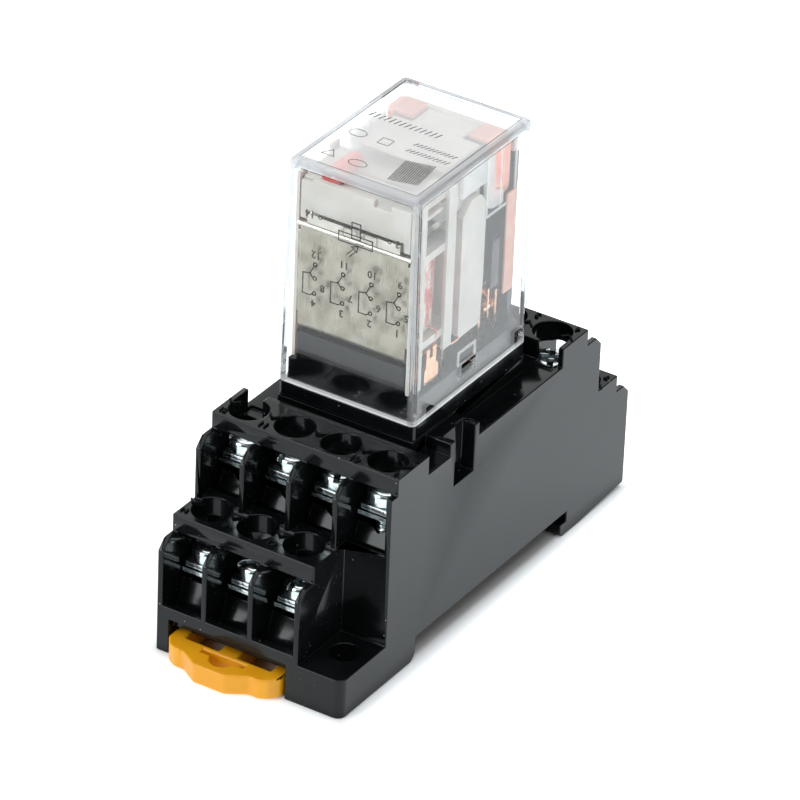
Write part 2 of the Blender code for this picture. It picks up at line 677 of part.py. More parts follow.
def build_hook(shop):
    """Make the sliding hook: grip, sprung bar, guide ribs and the catch for the rail."""
    near = -HALF_LENGTH
    hook = shop.part("din_rail_hook", outline_mesh(grip_outline(), HOOK_BOTTOM, HOOK_TOP, ALONG_Z),
                     shop.yellow, shop.hook, (HOOK_X, near, HOOK_BOTTOM))
    rib = box_mesh((HOOK_X - HOOK_HALF - RIB_REACH, near + RIB_LENGTH[0], RIB_BOTTOM),
                   (HOOK_X + HOOK_HALF + RIB_REACH, near + RIB_LENGTH[1], RIB_TOP))
    shop.join(hook, rib)
    catch = box_mesh((HOOK_X - CATCH_HALF, NEAR_FOOT_EDGE - 2.0, HOOK_BOTTOM + 0.2),
                     (HOOK_X + CATCH_HALF, NEAR_FOOT_EDGE + CATCH_REACH, LIP_HEIGHT))
    shop.join(hook, catch)
    slot = box_mesh((HOOK_X + SLOT_LEFT, near + SLOT_FRONT, -1),
                    (HOOK_X + SLOT_RIGHT, near + SLOT_BACK, 5))
    shop.cut(hook, slot)
    half_round = []
    for step in range(13):
        angle = math.radians(180 + 15 * step)
        half_round.append((HOOK_X + 0.1 + PRY_RADIUS * math.cos(angle),
                           near + SLOT_FRONT + 0.1 + PRY_RADIUS * math.sin(angle)))
    shop.cut(hook, outline_mesh(half_round, -1, 5, ALONG_Z))
    inner, outer, front, back = HOOK_WINDOW
    windows = [box_mesh((HOOK_X - outer, near + front, -1), (HOOK_X - inner, near + back, 5)),
               box_mesh((HOOK_X + inner, near + front, -1), (HOOK_X + outer, near + back, 5))]
    shop.cut(hook, joined_mesh(windows))


# ---- Terminals ------------------------------------------------------------------------
def screw_profile():
    """Return the screw's outer side as radius and height above the underside of its head."""
    flat = SCREW_HEAD_RADIUS * SCREW_FLAT
    shoulder = SCREW_HEAD_HEIGHT - SCREW_DOME
    dome = [(flat + (SCREW_HEAD_RADIUS - flat) * math.cos(math.radians(angle)),
             shoulder + SCREW_DOME * math.sin(math.radians(angle))) for angle in (0, 45, 90)]
    top = [(0.0, SCREW_HEAD_HEIGHT)] + list(reversed(dome))
    return top + [(SCREW_HEAD_RADIUS, 0.0), (SHANK_RADIUS, 0.0), (SHANK_RADIUS, -SHANK_LENGTH),
                  (0.0, -SHANK_LENGTH)]


def screw_mesh():
    """Turn the screw's profile about its own axis."""
    work = bmesh.new()
    verts = [work.verts.new(Vector((radius, 0, height)) * MM) for radius, height in screw_profile()]
    edges = [work.edges.new(pair) for pair in zip(verts, verts[1:])]
    bmesh.ops.spin(work, geom=verts + edges, axis=(0, 0, 1), cent=(0, 0, 0), steps=16,
                   angle=2 * math.pi, use_merge=True)
    bmesh.ops.remove_doubles(work, verts=work.verts, dist=1e-6)
    return mesh_from_bmesh("terminal_screw", work)


def terminal_places():
    """Return X, Y, clamp height and end (-1 near, 1 far) of the 14 terminals, in order."""
    near = []
    for column in range(4):
        near.append((column_x(column), from_end(UPPER_WELL_INSET), UPPER_CLAMP_TOP))
    for column in range(3):
        near.append((column_x(column), from_end(LOWER_WELL_INSET), LOWER_CLAMP_TOP))
    places = [(x, y, z, -1) for x, y, z in near]
    places += [(-x, -y, z, 1) for x, y, z in near]
    return places


def strip_blades():
    """Return, for each terminal in order, the blade its strip leads to and the leg's side."""
    coil, pins = pin_places()[:2], pin_places()[2:]
    common, opened, closed = pins[:4], pins[4:8], pins[8:]
    near = [(common[column], -1) for column in range(4)]
    near += [(opened[0], -1), (coil[0], -1), (coil[1], -1)]
    far = [(closed[3 - column], 1) for column in range(4)]
    far += [(opened[3 - column], 1) for column in range(3)]
    return near + far


def strip_stations(terminal, blade, side):
    """Return the path of a terminal strip from its screw to the spring at its blade."""
    x, y, clamp_top, end = terminal
    blade_x, blade_y = blade
    level = clamp_top - CLAMP_THICKNESS - 0.1 - STRIP_THICKNESS / 2
    passage_x = x - math.copysign(PASSAGE_SHIFT, x) if abs(x) > COLUMN_PITCH else x
    reach = PAD_LENGTH / 2
    run_y = end * (CAVITY_HALF_Y - 0.6)
    run_z = level - STRIP_DROP if clamp_top == UPPER_CLAMP_TOP else level
    leg_y = blade_y + side * LEG_OFFSET
    leaf_y = blade_y + side * LEAF_OFFSET
    top = SEAT_TOP - 1.9
    width = STRIP_WIDTH
    stations = [
        (x, y + end * reach, level, PAD_WIDTH), (x, y - end * reach, level, PAD_WIDTH),
        (passage_x, y - end * (reach + 0.2), level, width), (passage_x, run_y, level, width),
    ]
    if run_z != level:
        stations.append((passage_x, run_y, run_z, width))
    start = stations[-1]
    stations += [
        (start[0], start[1] - end * 1.2, run_z, width),
        (blade_x, leg_y + end * 0.6, run_z, width),
        (blade_x, leg_y, run_z, width), (blade_x, leg_y, top, width),
        (blade_x, leaf_y, top, width), (blade_x, leaf_y, top - LEAF_LENGTH, width),
    ]
    return stations


def build_terminals(shop):
    """Make the 14 terminal strips with their spring ends, and the 14 screws."""
    shared_screw = screw_mesh()
    shared_screw.materials.append(shop.zinc)
    shared_screw.shade_smooth()
    shared_screw.set_sharp_from_angle(angle=math.radians(32))
    pairs = zip(terminal_places(), strip_blades())
    for number, (terminal, (blade, side)) in enumerate(pairs, start=1):
        x, y, clamp_top, _ = terminal
        mesh = ribbon_mesh(strip_stations(terminal, blade, side))
        strip = shop.part(f"terminal_strip_{number}", mesh, shop.zinc)
        thicken(strip, STRIP_THICKNESS)
        hole = cylinder_mesh(x, y, clamp_top - 3, clamp_top + 1, SHANK_RADIUS + GAP, 12)
        shop.cut(strip, hole)
        screw = bpy.data.objects.new(f"terminal_screw_{number}", shared_screw)
        screw.parent = shop.socket
        screw.location = Vector((x, y, clamp_top)) * MM
        shop.parts.objects.link(screw)


# ---- Relay: housing -------------------------------------------------------------------
def tapered_box(low, high, inset_x, inset_y):
    """Return a box whose top is smaller than its bottom by an inset on each side."""
    mesh = box_mesh(low, high)
    top = high[2] * MM - 1e-6
    middle_x, middle_y = (low[0] + high[0]) / 2 * MM, (low[1] + high[1]) / 2 * MM
    for vertex in mesh.vertices:
        if vertex.co.z > top:
            vertex.co.x -= math.copysign(inset_x * MM, vertex.co.x - middle_x)
            vertex.co.y -= math.copysign(inset_y * MM, vertex.co.y - middle_y)
    return mesh


def bevelled(mesh, width, segments, upright_and_top=True):
    """Round a box's upright edges, and its top edges too, keeping its open rim square."""
    work = bmesh.new()
    work.from_mesh(mesh)
    lowest = min(vertex.co.z for vertex in work.verts)
    edges = [edge for edge in work.edges
             if not all(vertex.co.z < lowest + 1e-6 for vertex in edge.verts)]
    if not upright_and_top:
        edges = [edge for edge in edges if abs(edge.verts[0].co.z - edge.verts[1].co.z) > 1e-4]
    bmesh.ops.bevel(work, geom=edges, offset=width * MM, segments=segments, affect="EDGES",
                    profile=0.5, clamp_overlap=True)
    return mesh_from_bmesh("bevelled", work)


def build_cover(shop):
    """Make the clear cover: a drafted shell open at the bottom, with two latch windows."""
    half_x, half_y = RELAY_WIDTH / 2, RELAY_LENGTH / 2
    outer = tapered_box((-half_x, RELAY_Y - half_y, COVER_BOTTOM),
                        (half_x, RELAY_Y + half_y, COVER_TOP), COVER_DRAFT_X, COVER_DRAFT_Y)
    cover = shop.part("relay_cover", bevelled(outer, COVER_ROUNDING, 3), shop.clear, shop.relay,
                      (0, RELAY_Y, BASE_BOTTOM))
    inside_x, inside_y = half_x - COVER_WALL, half_y - COVER_WALL
    hollow = tapered_box((-inside_x, RELAY_Y - inside_y, COVER_BOTTOM - 1),
                         (inside_x, RELAY_Y + inside_y, COVER_TOP - COVER_ROOF),
                         COVER_DRAFT_X, COVER_DRAFT_Y)
    shop.cut(cover, bevelled(hollow, INNER_ROUNDING, 1))
    near, far, low, high = LATCH_WINDOW
    window = box_mesh((-half_x - 1, RELAY_Y + near, low), (half_x + 1, RELAY_Y + far, high))
    shop.cut(cover, window)


def build_base(shop):
    """Make the moulded base: rim, inner block with its front wall, bosses and pin slots."""
    half_x, half_y = RELAY_WIDTH / 2, RELAY_LENGTH / 2
    rim = box_mesh((-half_x, RELAY_Y - half_y, BASE_BOTTOM),
                   (half_x, RELAY_Y + half_y, COVER_BOTTOM - GAP / 2))
    base = shop.part("relay_base", bevelled(rim, BASE_ROUNDING, 2, upright_and_top=False), shop.black,
                     shop.relay, (0, RELAY_Y, BASE_BOTTOM))
    block_x, block_y = half_x - COVER_WALL - GAP, half_y - COVER_WALL - GAP
    block = box_mesh((-block_x, RELAY_Y - block_y, COVER_BOTTOM - 1),
                     (block_x, RELAY_Y + block_y, BASE_STEP))
    shop.join(base, block)
    front = box_mesh((-YOKE_HALF, RELAY_Y - block_y, BASE_STEP - 1),
                     (YOKE_HALF, RELAY_Y - block_y + BASE_FRONT_THICKNESS, BASE_FRONT_TOP))
    shop.join(base, front)
    near, far, low, high = LATCH_BOSS
    boss = box_mesh((LATCH_INSET - half_x, RELAY_Y + near, low),
                    (half_x - LATCH_INSET, RELAY_Y + far, high))
    shop.join(base, boss)
    slots = [box_mesh((x - PIN_WIDTH / 2 - GAP, y - PIN_THICKNESS / 2 - GAP, BASE_BOTTOM - 1),
                      (x + PIN_WIDTH / 2 + GAP, y + PIN_THICKNESS / 2 + GAP, BASE_STEP + 1))
             for x, y in pin_places()]
    shop.cut(base, joined_mesh(slots))


# ---- Relay: magnet --------------------------------------------------------------------
def build_magnet(shop):
    """Make the bobbin, winding, core and yoke of the electromagnet."""
    coil_y = RELAY_Y + COIL_Y
    half_x = RELAY_WIDTH / 2 - COVER_WALL - 2 * GAP
    flange_x = half_x - POST_THICKNESS - POST_INSET
    front = RELAY_Y + YOKE_FRONT
    back = coil_y + COIL_RADIUS + 0.1
    origin = (0, RELAY_Y, BASE_BOTTOM)

    lower = box_mesh((-flange_x, front + YOKE_THICKNESS + GAP, FLANGE_LOW),
                     (flange_x, back, FLANGE_LOW + FLANGE_THICKNESS))
    upper = box_mesh((-flange_x, front + YOKE_THICKNESS + GAP, FLANGE_HIGH - FLANGE_THICKNESS),
                     (flange_x, back, FLANGE_HIGH))
    bobbin = shop.part("coil_bobbin", lower, shop.cream, shop.relay, origin)
    shop.join(bobbin, upper)
    shop.join(bobbin, cylinder_mesh(0, coil_y, FLANGE_LOW + OVERLAP, FLANGE_HIGH - OVERLAP,
                                    TUBE_RADIUS))
    posts = []
    for side in (-1, 1):
        inner, outer = sorted((side * flange_x, side * (half_x - POST_INSET)))
        for start, (near, far, bottom, top) in ((front, FRONT_POST), (coil_y, BACK_POST)):
            posts.append(box_mesh((inner, start + near, bottom), (outer, start + far, top)))
    shop.join(bobbin, joined_mesh(posts))
    through = (YOKE_BOTTOM - 1, ARMATURE_BOTTOM + 1)
    shop.cut(bobbin, cylinder_mesh(0, coil_y, *through, CORE_RADIUS + GAP))

    oval = rounded([(-COIL_HALF, coil_y - COIL_RADIUS), (COIL_HALF, coil_y - COIL_RADIUS),
                    (COIL_HALF, coil_y + COIL_RADIUS), (-COIL_HALF, coil_y + COIL_RADIUS)],
                   dict.fromkeys(range(4), COIL_RADIUS - 0.1), steps=8)
    winding = outline_mesh(oval, FLANGE_LOW + FLANGE_THICKNESS + GAP,
                           FLANGE_HIGH - FLANGE_THICKNESS - GAP, ALONG_Z)
    item = shop.part("coil_winding", winding, shop.wire, shop.relay, origin)
    shop.cut(item, cylinder_mesh(0, coil_y, *through, TUBE_RADIUS + GAP))

    core = cylinder_mesh(0, coil_y, YOKE_BOTTOM + YOKE_THICKNESS + GAP,
                         ARMATURE_BOTTOM - CORE_GAP, CORE_RADIUS)
    shop.part("magnet_core", core, shop.steel, shop.relay, origin)

    bend = [(front, YOKE_BOTTOM), (coil_y + COIL_RADIUS, YOKE_BOTTOM),
            (coil_y + COIL_RADIUS, YOKE_BOTTOM + YOKE_THICKNESS),
            (front + YOKE_THICKNESS, YOKE_BOTTOM + YOKE_THICKNESS),
            (front + YOKE_THICKNESS, YOKE_TOP), (front, YOKE_TOP)]
    yoke = outline_mesh(rounded(bend, {0: 1.0}), -YOKE_HALF, YOKE_HALF, ALONG_X)
    shop.part("magnet_yoke", yoke, shop.steel, shop.relay, origin)


def build_armature(shop):
    """Make the armature, the moulded block that hangs from it, and the return spring."""
    front = RELAY_Y + YOKE_FRONT
    pivot = (0, RELAY_Y + ARMATURE_PIVOT[0], ARMATURE_PIVOT[1])
    plate = box_mesh((-ARMATURE_HALF, front + 0.1, ARMATURE_BOTTOM),
                     (ARMATURE_HALF, RELAY_Y + ARMATURE_END, ARMATURE_BOTTOM + ARMATURE_THICKNESS))
    shop.part("armature", plate, shop.steel, shop.armature, pivot)

    top = ARMATURE_BOTTOM + ARMATURE_THICKNESS + GAP
    slit_end = ARMATURE_END + 2 * GAP
    side = [(BLOCK_FACE, BLOCK_BOTTOM), (BLOCK_BACK - 0.6, BLOCK_BOTTOM),
            (BLOCK_BACK, BLOCK_BOTTOM + 0.6), (BLOCK_BACK, BLOCK_TOP - 0.8),
            (BLOCK_BACK - 0.8, BLOCK_TOP), (BLOCK_NEAR, BLOCK_TOP), (BLOCK_NEAR, top),
            (slit_end, top), (slit_end, ARMATURE_BOTTOM - GAP), (BLOCK_FACE, ARMATURE_BOTTOM - GAP)]
    outline = rounded([(RELAY_Y + y, z) for y, z in side], {0: 0.8, 3: 1.0})
    block = shop.part("moving_block", outline_mesh(outline, -BLOCK_HALF, BLOCK_HALF, ALONG_X),
                      shop.cream, shop.armature, pivot)
    outline = rounded([(RELAY_Y + y, z) for y, z in SHIELD], {0: 0.7, 1: 0.7, 4: 1.2, 5: 1.2})
    shields = [outline_mesh(outline, SHIELD_INNER, SHIELD_OUTER, ALONG_X),
               outline_mesh(outline, -SHIELD_OUTER, -SHIELD_INNER, ALONG_X)]
    shop.join(block, joined_mesh(shields))
    slot_x = MOVING_SPRING_WIDTH / 2 + GAP
    slots = [box_mesh((x - slot_x, RELAY_Y + BLOCK_BACK - 1.8, MOVING_SPRING_Z - 2 * GAP),
                      (x + slot_x, RELAY_Y + BLOCK_BACK + 1.0, MOVING_SPRING_Z + 2 * GAP))
             for x in PIN_COLUMNS]
    shop.cut(block, joined_mesh(slots))

    # A leaf on the bobbin's flange presses the block back to its rest place.
    y = RELAY_Y + COIL_Y + COIL_RADIUS
    level = FLANGE_HIGH + GAP
    leaf = [(0.0, y - 0.9, level, SPRING_WIDTH), (0.0, y + 0.45, level, SPRING_WIDTH),
            (0.0, y + 0.45, SPRING_BOTTOM, SPRING_WIDTH)]
    spring = shop.part("return_spring", ribbon_mesh(leaf), shop.zinc, shop.relay,
                       (0, RELAY_Y, BASE_BOTTOM))
    thicken(spring, SPRING_THICKNESS)


# ---- Relay: contacts ------------------------------------------------------------------
def blade_mesh(x, y, top):
    """Return a straight upright contact blade from the pin's tip to a height."""
    return box_mesh((x - PIN_WIDTH / 2, y - PIN_THICKNESS / 2, PIN_TIP),
                    (x + PIN_WIDTH / 2, y + PIN_THICKNESS / 2, top))


def build_contacts(shop):
    """Make the coil and common pins, the fixed contacts and the moving contact springs."""
    origin = (0, RELAY_Y, BASE_BOTTOM)
    for number, x in enumerate((PIN_COLUMNS[0], PIN_COLUMNS[3]), start=1):
        mesh = blade_mesh(x, RELAY_Y + COIL_ROW, COIL_BLADE_TOP)
        shop.part(f"coil_pin_{number}", mesh, shop.copper, shop.relay, origin)

    for number, x in enumerate(PIN_COLUMNS, start=1):
        mesh = blade_mesh(x, RELAY_Y + COMMON_ROW, COMMON_BLADE_TOP)
        shop.part(f"common_pin_{number}", mesh, shop.copper, shop.relay, origin)

        y = RELAY_Y + OPEN_ROW
        face = y + PIN_THICKNESS / 2
        opened = shop.part(f"open_contact_{number}", blade_mesh(x, y, CONTACT_Z + 1.4),
                           shop.copper, shop.relay, origin)
        shop.join(opened, lying_cylinder_mesh(x, CONTACT_Z - 0.5, face - 0.2,
                                              face + RIVET_HEIGHT, RIVET_RADIUS))
        y = RELAY_Y + CLOSED_ROW
        face = y - PIN_THICKNESS / 2
        closed = shop.part(f"closed_contact_{number}", blade_mesh(x, y, CONTACT_Z + 2.4),
                           shop.copper, shop.relay, origin)
        shop.join(closed, lying_cylinder_mesh(x, CONTACT_Z, face - RIVET_HEIGHT, face + 0.2,
                                              RIVET_RADIUS))
        build_moving_contact(shop, number, x)


def build_moving_contact(shop, number, x):
    """Make one moving spring: it leaves the block, turns down and ends in a rivet."""
    width = MOVING_SPRING_WIDTH
    y, z = RELAY_Y + MOVING_SPRING_Y, MOVING_SPRING_Z
    stations = [(x, RELAY_Y + BLOCK_BACK - 1.4, z, width),
                (x, RELAY_Y + BLOCK_BACK + 0.9, z, width), (x, y, z - 2.6, width),
                (x, y, CONTACT_Z - 1.4, width)]
    pivot = (0, RELAY_Y + ARMATURE_PIVOT[0], ARMATURE_PIVOT[1])
    spring = shop.part(f"moving_contact_{number}", ribbon_mesh(stations), shop.copper,
                       shop.armature, pivot)
    thicken(spring, MOVING_SPRING_THICKNESS)
    shop.join(spring, lying_cylinder_mesh(x, CONTACT_Z, y - 0.85, y + 0.7, RIVET_RADIUS))


def build_frame_and_lamp(shop):
    """Make the dark frame behind the contacts, and the indicator lamp under the top."""
    origin = (0, RELAY_Y, BASE_BOTTOM)
    wall = box_mesh((-FRAME_HALF, RELAY_Y + FRAME_NEAR, BASE_STEP + GAP),
                    (FRAME_HALF, RELAY_Y + FRAME_FAR, FRAME_TOP))
    frame = shop.part("contact_frame", wall, shop.black, shop.relay, origin)
    shelf = box_mesh((-FRAME_HALF, RELAY_Y + SHELF_NEAR, SHELF_BOTTOM),
                     (FRAME_HALF, RELAY_Y + FRAME_FAR - 0.6, SHELF_TOP))
    shop.join(frame, shelf)
    arm_x = FRAME_HALF - 0.2
    arms = [box_mesh((side * arm_x - ARM_HALF, RELAY_Y + SHELF_NEAR, ARM_BOTTOM),
                     (side * arm_x + ARM_HALF, RELAY_Y + FRAME_FAR - 0.6, SHELF_TOP - OVERLAP))
            for side in (-1, 1)]
    shop.join(frame, joined_mesh(arms))

    body = lying_cylinder_mesh(LAMP_X, LAMP_Z, RELAY_Y + LAMP_NEAR, RELAY_Y + LAMP_FAR,
                               LAMP_RADIUS, 24)
    lamp = shop.part("indicator_lamp", body, shop.red, shop.relay, origin)
    dome = bmesh.new()
    tip = Vector((LAMP_X, RELAY_Y + LAMP_FAR, LAMP_Z)) * MM
    bmesh.ops.create_uvsphere(dome, u_segments=24, v_segments=12,
                              radius=(LAMP_RADIUS - 0.01) * MM,
                              matrix=Matrix.Translation(tip)
                              @ Matrix.Rotation(math.pi / 2, 4, "X"))
    shop.join(lamp, mesh_from_bmesh("dome", dome))


def main():
    clear_scene()
    shop = Workshop()
    build_housing(shop)
    build_back_plate(shop)
    build_hook(shop)
    build_terminals(shop)
    build_cover(shop)
    build_base(shop)
    build_magnet(shop)
    build_armature(shop)
    build_contacts(shop)
    build_frame_and_lamp(shop)


main()
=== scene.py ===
import json
import math

import bmesh
import bpy
from mathutils import Matrix, Vector

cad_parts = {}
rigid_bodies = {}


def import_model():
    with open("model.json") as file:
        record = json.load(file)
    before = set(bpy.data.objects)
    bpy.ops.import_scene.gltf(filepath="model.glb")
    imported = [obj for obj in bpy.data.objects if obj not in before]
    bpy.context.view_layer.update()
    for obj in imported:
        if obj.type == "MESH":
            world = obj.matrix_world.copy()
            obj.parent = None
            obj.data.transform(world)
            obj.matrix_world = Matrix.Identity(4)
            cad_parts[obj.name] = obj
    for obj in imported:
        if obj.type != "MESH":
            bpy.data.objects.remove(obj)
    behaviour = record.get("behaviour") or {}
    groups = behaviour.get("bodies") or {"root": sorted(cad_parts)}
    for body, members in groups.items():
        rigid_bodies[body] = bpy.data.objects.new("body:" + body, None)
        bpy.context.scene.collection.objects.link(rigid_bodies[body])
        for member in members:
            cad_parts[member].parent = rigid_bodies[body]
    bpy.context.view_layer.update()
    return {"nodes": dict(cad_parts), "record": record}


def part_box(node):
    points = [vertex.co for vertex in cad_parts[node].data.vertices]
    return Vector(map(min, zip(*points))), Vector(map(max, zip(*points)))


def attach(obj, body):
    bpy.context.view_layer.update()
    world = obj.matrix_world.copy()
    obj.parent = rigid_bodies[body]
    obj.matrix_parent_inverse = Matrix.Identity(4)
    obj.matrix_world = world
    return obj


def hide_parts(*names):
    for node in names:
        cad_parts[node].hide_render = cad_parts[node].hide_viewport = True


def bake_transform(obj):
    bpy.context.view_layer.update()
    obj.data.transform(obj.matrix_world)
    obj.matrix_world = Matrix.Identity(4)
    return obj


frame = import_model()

MM = 0.001
NODES = frame["nodes"]


SCENE = bpy.context.scene

# ---- Places and sizes in millimetres; the part boxes are read from the CAD model --------


def node_box(node):
    low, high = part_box(node)
    return low / MM, high / MM


COVER_LOW, COVER_HIGH = node_box("relay_cover")
SOCKET_LOW, SOCKET_HIGH = node_box("socket_body")
COVER_WALL = 0.8
COVER_LEAN = 0.56               # how far each side leans in from bottom to top
COVER_EDGE = 1.15               # width of the grey band where two walls meet: painted light, for the light seen along the wall edges
COVER_RIM = (1.2, 1.8)          # the painted band's tint, lines and whitening near the rim fade out between these depths from the top
COVER_LIP = (0.3, 0.55)         # the frosted lower lip fades out between these heights
TOP_CLEARNESS = 0.7             # share of light that the top lets through; the rest shows the cover's white, painted to make the top paler
SCREW_HEAD = 2.1                # height and radius of the screw's head
SCREW_RADIUS = 2.6
SCREW_ROUND = 0.75              # rounding of the head's rim
SCREW_LENGTH = 5.0
SCREW_PITCH = 0.7
SCREW_CREST = 1.4
SCREW_ROOT = 1.15
SLOT_HALF = 0.42
CROSS_HALF = 1.5
CLAMP = 1.0                     # thickness of a clamp plate and half its width
CLAMP_HALF = 2.62
CLAMP_LIP = 0.5
NUMERAL = 1.5                   # height of the printed numerals
YOKE_BEND = 57.35               # heights of the yoke's bend and of the coil's line in the print
COIL_LINE = 59.7
SOCKET_TERRACE = 31.3           # heights of the upper and lower terraces
SOCKET_STEP = 19.7
UPPER_WELLS = -20.6             # the wells' distance from the middle of the socket
LOWER_WELLS = -28.9
MARK_HEIGHT = 0.5               # numerals and chevrons stand out by half of this
FLOOR_NEAR = 0.55               # the floor's own light, to the near left and to the far right
FLOOR_FAR = 1.0
FLOOR_SIZE = 6.0                # half the floor's side, in metres
FLOOR_GAP = 0.00005             # under the socket, in metres
DEEPEST_RAY = 4.5               # bounces after which the cover turns plainly see-through, in a grey that paints shade along the walls
CAMERA_ANGLES = (31.53, 31.32, 2.414)    # azimuth, elevation and roll in degrees
CAMERA_TARGET = (-0.22, 2.1, 26.45)
CAMERA_DISTANCE = 0.8824        # in metres
CAMERA_LENS = 294.9
SENSOR_WIDTH = 36.0


def screw_place(number):
    """Return X, Y and the height of the underside of a terminal screw's head."""
    low, high = node_box(f"terminal_screw_{number}")
    return (low.x + high.x) / 2, (low.y + high.y) / 2, high.z - SCREW_HEAD


# ---- Material building blocks -----------------------------------------------------------


class Material:
    """A node material: wraps a Principled shader and adds procedural detail to it."""

    def __init__(self, name, colour, roughness, metallic=0.0, **sockets):
        self.data = bpy.data.materials.new(name)
        self.data.use_nodes = True
        self.tree = self.data.node_tree
        self.shader = self.tree.nodes["Principled BSDF"]
        self.output = self.tree.nodes["Material Output"]
        self.shader.inputs["Base Color"].default_value = (*colour, 1.0)
        self.shader.inputs["Roughness"].default_value = roughness
        self.shader.inputs["Metallic"].default_value = metallic
        for socket, value in sockets.items():
            self.shader.inputs[socket.replace("_", " ")].default_value = value
        self.colour = (*colour, 1.0)
        self.roughness = roughness
        self.place = self.node("ShaderNodeTexCoord").outputs["Object"]

    def node(self, kind, **values):
        item = self.tree.nodes.new(kind)
        for key, value in values.items():
            if key in item.inputs:
                item.inputs[key].default_value = value
            else:
                setattr(item, key, value)
        return item

    def link(self, source, target):
        self.tree.links.new(source, target)

    def maths(self, operation, first, second=0.0):
        """Return the result of a sum on sockets or numbers."""
        item = self.node("ShaderNodeMath", operation=operation)
        for index, value in enumerate((first, second)):
            if isinstance(value, (int, float)):
                item.inputs[index].default_value = value
            else:
                self.link(value, item.inputs[index])
        return item.outputs[0]

    def stretched(self, scale):
        """Return object coordinates scaled unevenly, for grain that runs one way."""
        mapping = self.node("ShaderNodeMapping", Scale=scale)
        self.link(self.place, mapping.inputs["Vector"])
        return mapping.outputs["Vector"]

    def noise(self, size_mm, detail=3.0, vector=None, roughness=0.5):
        """Return a noise value whose features are about size_mm across."""
        item = self.node("ShaderNodeTexNoise", Scale=1.0 / (size_mm * MM), Detail=detail,
                         Roughness=roughness)
        self.link(vector or self.place, item.inputs["Vector"])
        return item.outputs["Fac"]

    def ramp(self, value, low, high, start=0.35, end=0.65):
        """Map a value between start and end to low and high."""
        item = self.node("ShaderNodeMapRange")
        for key, number in (("From Min", start), ("From Max", end), ("To Min", low),
                            ("To Max", high)):
            item.inputs[key].default_value = number
        self.link(value, item.inputs["Value"])
        return item.outputs["Result"]

    def blend(self, factor, first, second):
        """Mix two colours, each a socket or four numbers, and return the result."""
        item = self.node("ShaderNodeMix", data_type="RGBA")
        for index, colour in ((6, first), (7, second)):
            if isinstance(colour, tuple):
                item.inputs[index].default_value = colour
            else:
                self.link(colour, item.inputs[index])
        self.link(factor, item.inputs[0])
        return item.outputs[2]

    def vary_colour(self, other, size_mm, start=0.4, end=0.65, detail=4.0):
        """Wander between the base colour and another over a given size."""
        factor = self.ramp(self.noise(size_mm, detail), 0.0, 1.0, start, end)
        result = self.blend(factor, self.colour, (*other, 1.0))
        self.link(result, self.shader.inputs["Base Color"])
        return result

    def vary_roughness(self, spread, size_mm, vector=None):
        value = self.ramp(self.noise(size_mm, 4.0, vector), self.roughness - spread,
                          self.roughness + spread, 0.3, 0.7)
        self.link(value, self.shader.inputs["Roughness"])

    def wear(self, colour, source, width_mm=0.18, amount=0.7):
        """Lighten the exposed edges, where a rounded normal turns away from the true one: partly
        rubbed wear, partly a painted highlight along the edges.
        """
        rounded = self.node("ShaderNodeBevel", samples=4, Radius=width_mm * MM)
        turned = self.node("ShaderNodeVectorMath", operation="DOT_PRODUCT")
        self.link(rounded.outputs["Normal"], turned.inputs[0])
        self.link(self.node("ShaderNodeNewGeometry").outputs["Normal"], turned.inputs[1])
        factor = self.ramp(turned.outputs["Value"], amount, 0.0, 0.8, 0.985)
        result = self.blend(factor, source, (*colour, 1.0))
        self.link(result, self.shader.inputs["Base Color"])

    def bump(self, height, depth_mm, strength=0.5):
        """Add a bump from a height value; calls stack."""
        item = self.node("ShaderNodeBump", Distance=depth_mm * MM, Strength=strength)
        self.link(height, item.inputs["Height"])
        if self.shader.inputs["Normal"].links:
            self.link(self.shader.inputs["Normal"].links[0].from_socket, item.inputs["Normal"])
        self.link(item.outputs["Normal"], self.shader.inputs["Normal"])

    def grain(self, size_mm, depth_mm, strength=0.4):
        self.bump(self.noise(size_mm, 2.0), depth_mm, strength)

    def specks(self, colour, source, size_mm, share=0.25, dot=0.09):
        """Add dust: a small dot in a share of the cells of a given size."""
        cells = self.node("ShaderNodeTexVoronoi", Scale=1.0 / (size_mm * MM))
        self.link(self.place, cells.inputs["Vector"])
        pick = self.node("ShaderNodeSeparateColor")
        self.link(cells.outputs["Color"], pick.inputs[0])
        chosen = self.maths("LESS_THAN", pick.outputs[0], share)
        spot = self.ramp(cells.outputs["Distance"], 1.0, 0.0, dot * 0.6, dot)
        result = self.blend(self.maths("MULTIPLY", chosen, spot), source, (*colour, 1.0))
        self.link(result, self.shader.inputs["Base Color"])
        return result


def black_plastic(name, roughness, ior):
    made = Material(name, (0.003, 0.0038, 0.0042), roughness, IOR=ior,
                    Specular_Tint=(0.93, 0.98, 1.0, 1.0))
    base = made.vary_colour((0.0055, 0.0065, 0.007), 9.0)
    base = made.specks((0.3, 0.31, 0.31), base, 1.3)
    base = made.specks((0.12, 0.13, 0.13), base, 0.7, 0.15, 0.1)
    # Lighter edges: rubbed wear and a painted edge highlight.
    made.wear((0.035, 0.038, 0.04), base)
    made.vary_roughness(0.05, 5.0)
    made.grain(0.35, 0.004, 0.15)
    made.bump(made.noise(6.0, 2.0), 0.02, 0.15)
    return made.data


def yellow_plastic():
    made = Material("amber_moulding", (0.77, 0.34, 0.004), 0.34, Subsurface_Weight=0.12,
                    Subsurface_Scale=0.002, IOR=1.5)
    base = made.vary_colour((0.82, 0.38, 0.006), 5.0)
    # Lighter edges: rubbed wear and a painted edge highlight.
    made.wear((0.9, 0.48, 0.03), base)
    made.vary_roughness(0.06, 2.5)
    made.grain(0.3, 0.01, 0.3)
    return made.data


